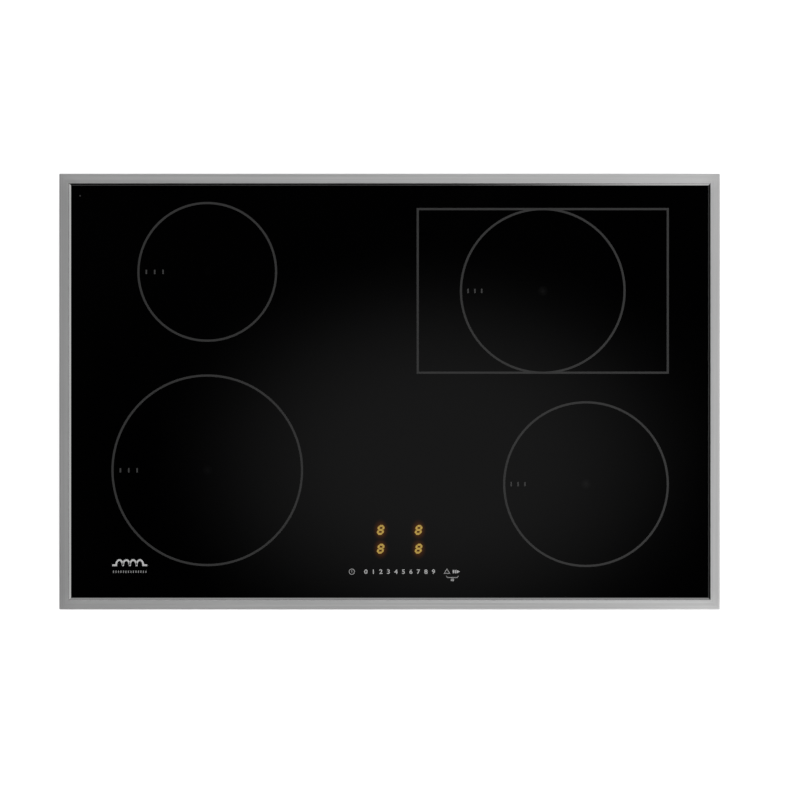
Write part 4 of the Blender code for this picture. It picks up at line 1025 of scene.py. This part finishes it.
def make_coil_parts():
    for name in ZONE_NAMES:
        for number in (1, 2, 3):
            node = f"coil_spring_{name}_{number}"
            low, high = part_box(node)
            spring = Build(f"wire_spring_{name}_{number}", slot="spring_steel")
            made = spring.tube(spring_points(low, high), SPRING_WIRE * 0.96).done(node, smooth=60)
            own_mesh(made)
        softened("coil_carrier_" + name, 0.0004)
        softened("ferrite_bars_" + name, 0.0005)
        low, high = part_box("temperature_sensor_" + name)
        foot, r = low.z, (high.x - low.x) / 2
        head = [(0, 0), (r - 0.0006, 0), (r - 0.0001, 0.0003), (r, 0.0008), (r, 0.0018)]
        neck = [(r - 0.0004, 0.0021), (0.0041, 0.0021), (0.0039, 0.0030), (0.0039, 0.0070)]
        clamp = [(0.0034, 0.0072), (0.0034, 0.0078), (0.0040, 0.0080)]
        body = [(x, high.z - down) for x, down in (*head, *neck, *clamp)]
        body += [(0.0040, foot + 0.0004), (0.0036, foot), (0, foot)]
        sensor = Build("sensor_body_" + name, "sensor_" + name, "sensor_ceramic")
        sensor.turned(body, at((low.x + high.x) / 2, (low.y + high.y) / 2), 32)
        sensor.done("temperature_sensor_" + name)


# --- Cooling and electronics ---
def add_can(form, x, y, low, radius, height):
    """An electrolytic capacitor: a sleeved can with a crimped groove and a scored top."""
    top = low + height
    crimp = [(1, 0.0016), (0.93, 0.0021), (1, 0.0027)]
    sleeve = [(share * radius, low + up) for share, up in ((0, 0), (0.94, 0), (1, 0.0006), *crimp)]
    edge = ((1, 0.0006), (0.92, 0), (0.8, 0.0001), (0, 0.0001))
    sleeve += [(share * radius, top - down) for share, down in edge]
    form.use("sleeve").turned(sleeve, at(x, y), 28)
    lid = ((0, -0.0004), (0.78, -0.0004), (0.76, 0.00005), (0, 0.00005))
    form.use("sink_aluminium").turned([(share * radius, top + up) for share, up in lid], at(x, y), 28)


def add_chip(form, x, y, low, size_x, size_y, pins):
    """A flat package with legs along its two long sides."""
    form.use("chip").box((x, y, low + 0.0002), (x + size_x, y + size_y, low + 0.0018), 0.0002)
    form.use("tin")
    for i in range(pins):
        pin_x = x + size_x * (i + 0.5) / pins
        for edge, side in ((y, -1), (y + size_y, 1)):
            near, far = sorted((edge - side * 0.0002, edge + side * 0.0009))
            form.box((pin_x - 0.0002, near, low), (pin_x + 0.0002, far, low + 0.0005), 0.00008, 1)


def add_small_parts(form, low, reach, z, count, seed):
    """Rows of chip resistors and capacitors, spread without overlap on a loose grid."""
    columns = int(reach / 0.006)
    for i in range(count):
        row, column = divmod((i * 7 + seed) % (columns * 3), columns)
        x, y = low[0] + column * 0.006, low[1] + row * 0.0042
        length, width = (0.001, 0.002) if (i + seed) % 3 == 0 else (0.002, 0.001)
        form.use("chip" if i % 2 else "mica")
        form.box((x, y, z), (x + length, y + width, z + 0.0006), 0.00012, 1)


POWER_PARTS = (
    ("film", 0.012, 0.016, 0.032, 0.020, 0.013),
    ("film", 0.050, 0.014, 0.018, 0.024, 0.011),
    ("transformer", 0.110, 0.012, 0.026, 0.014, 0.010),
    ("connector", 0.150, 0.012, 0.022, 0.010, 0.008),
    ("relay", 0.014, 0.066, 0.060, 0.010, 0.009),
)
POWER_CANS = ((0.085, 0.024, 0.009, 0.014), (0.160, 0.036, 0.008, 0.013), (0.030, 0.052, 0.007, 0.013))
FILTER_PARTS = (
    ("film", 0.012, 0.014, 0.026, 0.011, 0.014),
    ("relay", 0.012, 0.034, 0.026, 0.009, 0.012),
    ("transformer", 0.082, 0.014, 0.010, 0.030, 0.010),
)
FILTER_CANS = ((0.060, 0.030, 0.013, 0.013),)


def add_connector(board, start, end):
    """A pin header: a base, two walls and seven tinned pins."""
    board.use("white_plastic").box(start, (end.x, end.y, start.z + 0.0030), 0.0004)
    for y in (start.y, end.y - 0.001):
        board.box((start.x, y, start.z + 0.001), (end.x, y + 0.001, end.z), 0.0003)
    board.use("tin")
    y = (start.y + end.y) / 2
    for i in range(7):
        x = start.x + 0.0025 + i * 0.0028
        board.box((x, y - 0.0004, start.z), (x + 0.0008, y + 0.0004, end.z - 0.0015), 0.0001, 1)


def add_transformer(board, start, end):
    """A ferrite core with a taped winding round its middle."""
    inset = min(end.x - start.x, end.y - start.y) * 0.16
    board.use("ferrite").box(start, end, 0.0005)
    tape_low = (start.x - 0.0003, start.y + inset, start.z + 0.0015)
    board.use("tape_yellow").box(tape_low, (end.x + 0.0003, end.y - inset, end.z - 0.0015), 0.0006)


def make_board(node, parts, cans):
    """A board with its parts, each in its own finish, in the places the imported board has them."""
    low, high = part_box(node)
    under = BOARD_TOP - BOARD_SHEET
    board = Build(node + "_assembled", slot="circuit_board")
    board.box((low.x, low.y, under), (high.x, high.y, BOARD_TOP), 0.0002)
    for x in (low.x + 0.006, high.x - 0.006):
        for y in (low.y + 0.006, high.y - 0.006):
            post = [(0, low.z), (0.0024, low.z), (0.0021, under), (0, under)]
            board.use("white_plastic").turned(post, at(x, y), 16)
            add_screw(board, at(x, y, BOARD_TOP), 0.0024, 0.0012)
    for kind, x, y, *size in parts:
        start = Vector((low.x + x, low.y + y, BOARD_TOP))
        end = start + Vector(size)
        if kind == "film":
            board.use("film_red").box(start, end, 0.0012)
        elif kind == "relay":
            board.use("relay_blue").box(start, end, 0.0006)
        elif kind == "connector":
            add_connector(board, start, end)
        else:
            add_transformer(board, start, end)
    for x, y, radius, height in cans:
        add_can(board, low.x + x, low.y + y, BOARD_TOP, radius, height)
    width = high.x - low.x
    add_small_parts(board, (low.x + width * 0.42, high.y - 0.020), width * 0.5, BOARD_TOP, 36, 3)
    add_chip(board, low.x + width * 0.46, low.y + 0.0035, BOARD_TOP, 0.014, 0.0055, 9)
    board.done(node)


def make_electronics():
    for word in ("left", "right"):
        make_board("power_board_" + word, POWER_PARTS, POWER_CANS)
        softened("heat_sink_" + word, 0.00015)
        softened("fan_housing_" + word, 0.0004)
        softened("fan_rotor_" + word, 0.0002)
    make_board("filter_board", FILTER_PARTS, FILTER_CANS)
    softened("terminal_block", 0.0004)
    for node in ("ui_tray", "ui_board", "display_module", "touch_contacts"):
        softened(node, 0.0002)
    low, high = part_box("ui_board")
    extra = Build("control_board_parts", slot="circuit_board")
    add_chip(extra, low.x + 0.010, low.y + 0.030, high.z, 0.012, 0.012, 12)
    add_chip(extra, low.x + 0.118, low.y + 0.032, high.z, 0.018, 0.006, 10)
    for x in (0.004, 0.124):
        add_small_parts(extra, (low.x + x, low.y + 0.055), 0.030, high.z, 12, 5)
    plug = Vector((low.x + 0.130, low.y + 0.044, high.z))
    extra.use("white_plastic").box(plug, plug + Vector((0.016, 0.005, 0.003)), 0.0003).done()


# --- Studio ---
FLOOR_GLOW = (0.10, 0.86)  # what the floor gives off towards the object, and to the eye
CEILING_EDGE = (0.17, 0.42)  # lean from the zenith where the dark ceiling starts to end, and ends
WALL_FALL = (0.5, 3.5)  # lean over which the walls go from the first level to the second
WALL_LEVELS = (1.05, 0.68)
FOOT_RISE = (5.0, 16.0)  # lean over which the foot of the walls gains this level
FOOT_LEVEL = 0.32
SHADE_EDGE = (-0.26, -0.44)  # lean at which the shaded walls start, and are full
SHADE_FOOT = (1.8, 4.0)  # lean over which the shade ends again
SHADE_DEPTH = 0.985
SOUTH_END = (0.11, 0.03)  # lean along X over which the front shade starts
NORTH_SHADE = 0.5
PATCH = (0.0187, -0.0273, 0.135, 0.100)  # the dim patch: its middle and its reach, as leans
PATCH_LEVEL = 0.215

CAMERA_LENS = 100.0
CAMERA_SENSOR = 36.0
FIELD = 0.9245  # width of the view at the height of the trim
CAMERA_OFFSET = (0.0119, -0.0097)


def make_floor():
    bpy.ops.mesh.primitive_plane_add(size=60, location=(0, 0, -0.0002))
    floor = bpy.context.object
    floor.name = "studio_floor"
    grey = (0.78, 0.78, 0.78)
    made = Shade("studio_floor", grey, 0.9)
    made.tint(made.noise(3.0), grey, 0.01)
    made.shader.inputs["Specular IOR Level"].default_value = 0.0
    made.shader.inputs["Emission Color"].default_value = (1, 1, 1, 1)
    seen = made.add("LightPath").outputs["Is Camera Ray"]
    made.link(made.ramp(seen, *FLOOR_GLOW), "Emission Strength")
    floor.data.materials.append(made.material)


def make_world():
    """White walls, shaded to the left and the front, and a dark ceiling with one dim patch in it."""
    world = bpy.data.worlds.new("studio")
    bpy.context.scene.world = world
    world.use_nodes = True
    sky = Nodes(world.node_tree)
    maths = sky.maths

    def ramp(value, edge, low=0.0, high=1.0):
        return sky.ramp(value, low, high, *edge, "SMOOTHSTEP")

    split = sky.add("SeparateXYZ", Vector=sky.add("TexCoord").outputs["Generated"]).outputs
    height = maths("MAXIMUM", split["Z"], 0.02)
    lean_x, lean_y = (maths("DIVIDE", split[axis], height) for axis in "XY")

    def off_axis(centre_x, centre_y, reach_x, reach_y):
        """How far a direction is from one near the zenith, in units of the given reach."""
        dx = maths("DIVIDE", maths("SUBTRACT", lean_x, centre_x), reach_x)
        dy = maths("DIVIDE", maths("SUBTRACT", lean_y, centre_y), reach_y)
        return maths("SQRT", maths("ADD", maths("MULTIPLY", dx, dx), maths("MULTIPLY", dy, dy)))

    lean = off_axis(0, 0, 1, 1)
    level = maths("ADD", ramp(lean, WALL_FALL, *WALL_LEVELS), ramp(lean, FOOT_RISE, 0.0, FOOT_LEVEL))
    walls = maths("MULTIPLY", ramp(lean, CEILING_EDGE), level)
    west = ramp(lean_x, SHADE_EDGE)
    south = maths("MULTIPLY", ramp(lean_y, SHADE_EDGE), ramp(lean_x, SOUTH_END))
    north = maths("MULTIPLY", ramp(maths("MULTIPLY", lean_y, -1.0), SHADE_EDGE), NORTH_SHADE)
    sides = maths("MAXIMUM", maths("MAXIMUM", west, south), north)
    dark = maths("MULTIPLY", sides, ramp(lean, SHADE_FOOT, 1.0, 0.0))
    shade = maths("SUBTRACT", 1.0, maths("MULTIPLY", dark, SHADE_DEPTH))
    dim = ramp(off_axis(*PATCH), (1.0, 0.25), 0.0, PATCH_LEVEL)
    total = maths("ADD", maths("MULTIPLY", walls, shade), dim)
    background = sky.tree.nodes["Background"].inputs
    sky.tree.links.new(total, background["Strength"])
    background["Color"].default_value = (1, 1, 1, 1)


def area_light(name, location, size, power):
    data = bpy.data.lights.new(name, "AREA")
    data.shape = "RECTANGLE"
    data.size, data.size_y = size
    data.energy = power
    light = new_object(name, data)
    light.location = location
    light.rotation_euler = Vector(location).to_track_quat("Z", "Y").to_euler()


def make_camera():
    data = bpy.data.cameras.new("camera")
    data.lens = CAMERA_LENS
    data.sensor_width = CAMERA_SENSOR
    camera = new_object("camera", data)
    camera.location = (*CAMERA_OFFSET, FRAME_HIGH.z + FIELD * CAMERA_LENS / CAMERA_SENSOR)
    bpy.context.scene.camera = camera


# --- Everything ---
make_camera()
make_world()
make_floor()
area_light("right_softbox", (1.7, -0.3, 1.5), (1.6, 1.6), 5)
bpy.context.scene.view_settings.view_transform = "Standard"

MATERIALS = {
    "steel_frame": brushed_trim("brushed_trim", (0.76, 0.76, 0.76), 0.43, 0.11),
    # Painted shade: the slope's steel is a darker copy of the band's steel.
    "trim_slope": brushed_trim("fine_brushed_trim_painted_shade", (0.40, 0.40, 0.40), 0.09, 0.08),
    "glass": black_glass(),
    "silicone": moulded("silicone_bead", (0.03, 0.03, 0.03), 0.55),
    "seal_foam": foam("seal_foam", (0.04, 0.04, 0.042)),
    "galvanised_steel": spangled("zinc_coated_steel", (0.56, 0.57, 0.58), 0.42),
    "deck_aluminium": brushed("rolled_aluminium", (0.72, 0.73, 0.74), 0.38, "x"),
    "sink_aluminium": brushed("extruded_aluminium", (0.70, 0.71, 0.72), 0.35, "x"),
    "copper_litz": twisted("copper_litz", (0.66, 0.30, 0.14), 0.34),
    "ferrite": moulded("ferrite", (0.05, 0.05, 0.055), 0.6, 0.25, 700.0, 0.00008),
    "mica": layered_mica("pressed_mica"),
    "sensor_ceramic": moulded("sensor_ceramic", (0.80, 0.79, 0.75), 0.35),
    "spring_steel": moulded("spring_wire", (0.55, 0.55, 0.56), 0.28, metallic=1.0),
    "clip_steel": brushed("clip_steel", (0.50, 0.50, 0.50), 0.32, "z"),
    "carrier_plastic": moulded("carrier_plastic", (0.74, 0.73, 0.68), 0.55),
    "black_plastic": moulded("black_plastic", (0.022, 0.022, 0.023), 0.5, 0.15, 1200.0, 0.00006),
    "grey_plastic": moulded("grey_plastic", (0.20, 0.20, 0.21), 0.5, 0.1, 1200.0, 0.00005),
    "white_plastic": moulded("white_plastic", (0.76, 0.76, 0.73), 0.45),
    "conductive_foam": foam("conductive_foam", (0.05, 0.05, 0.055)),
    "circuit_board": laminate("circuit_board", (0.012, 0.085, 0.040)),
    "screw_steel": moulded("screw_steel", (0.62, 0.62, 0.60), 0.3, 0.1, 900.0, 0.00002, metallic=1.0),
    # Painted shade inside the screws' cross recesses.
    "recess": moulded("screw_recess_painted_shade", (0.05, 0.05, 0.05), 0.6),
    "rubber": moulded("rubber", (0.025, 0.025, 0.025), 0.7),
    "sleeve": moulded("can_sleeve", (0.03, 0.035, 0.06), 0.3),
    "chip": moulded("chip_epoxy", (0.03, 0.03, 0.03), 0.45),
    "tin": moulded("tinned_pin", (0.75, 0.75, 0.74), 0.25, metallic=1.0),
    "film_red": moulded("film_capacitor", (0.42, 0.06, 0.03), 0.4),
    "relay_blue": moulded("relay_case", (0.03, 0.10, 0.32), 0.35),
    "tape_yellow": moulded("winding_tape", (0.72, 0.50, 0.06), 0.35),
    "ink_zone": ink("ink_zone", 0.037),
    "ink_bars": ink("ink_bars", 0.060),
    "ink_symbol": ink("ink_symbol", 0.44),
    "ink_light": ink("ink_light", 0.70),
    "ink_white": ink("ink_white", 0.86),
    "amber": lit("amber_segment", (1.0, 0.66, 0.13), 0.36),
}

for node_name, node in frame["nodes"].items():
    node.data.materials.clear()
    node.data.materials.append(MATERIALS[SLOT_OF[node_name]])

make_trim()
make_seal()
make_zones()
make_touch_row()
make_display()
make_mark()
make_pan()
make_casing_fittings()
make_clips()
make_terminal_cover()
make_windings()
make_coil_parts()
make_electronics()
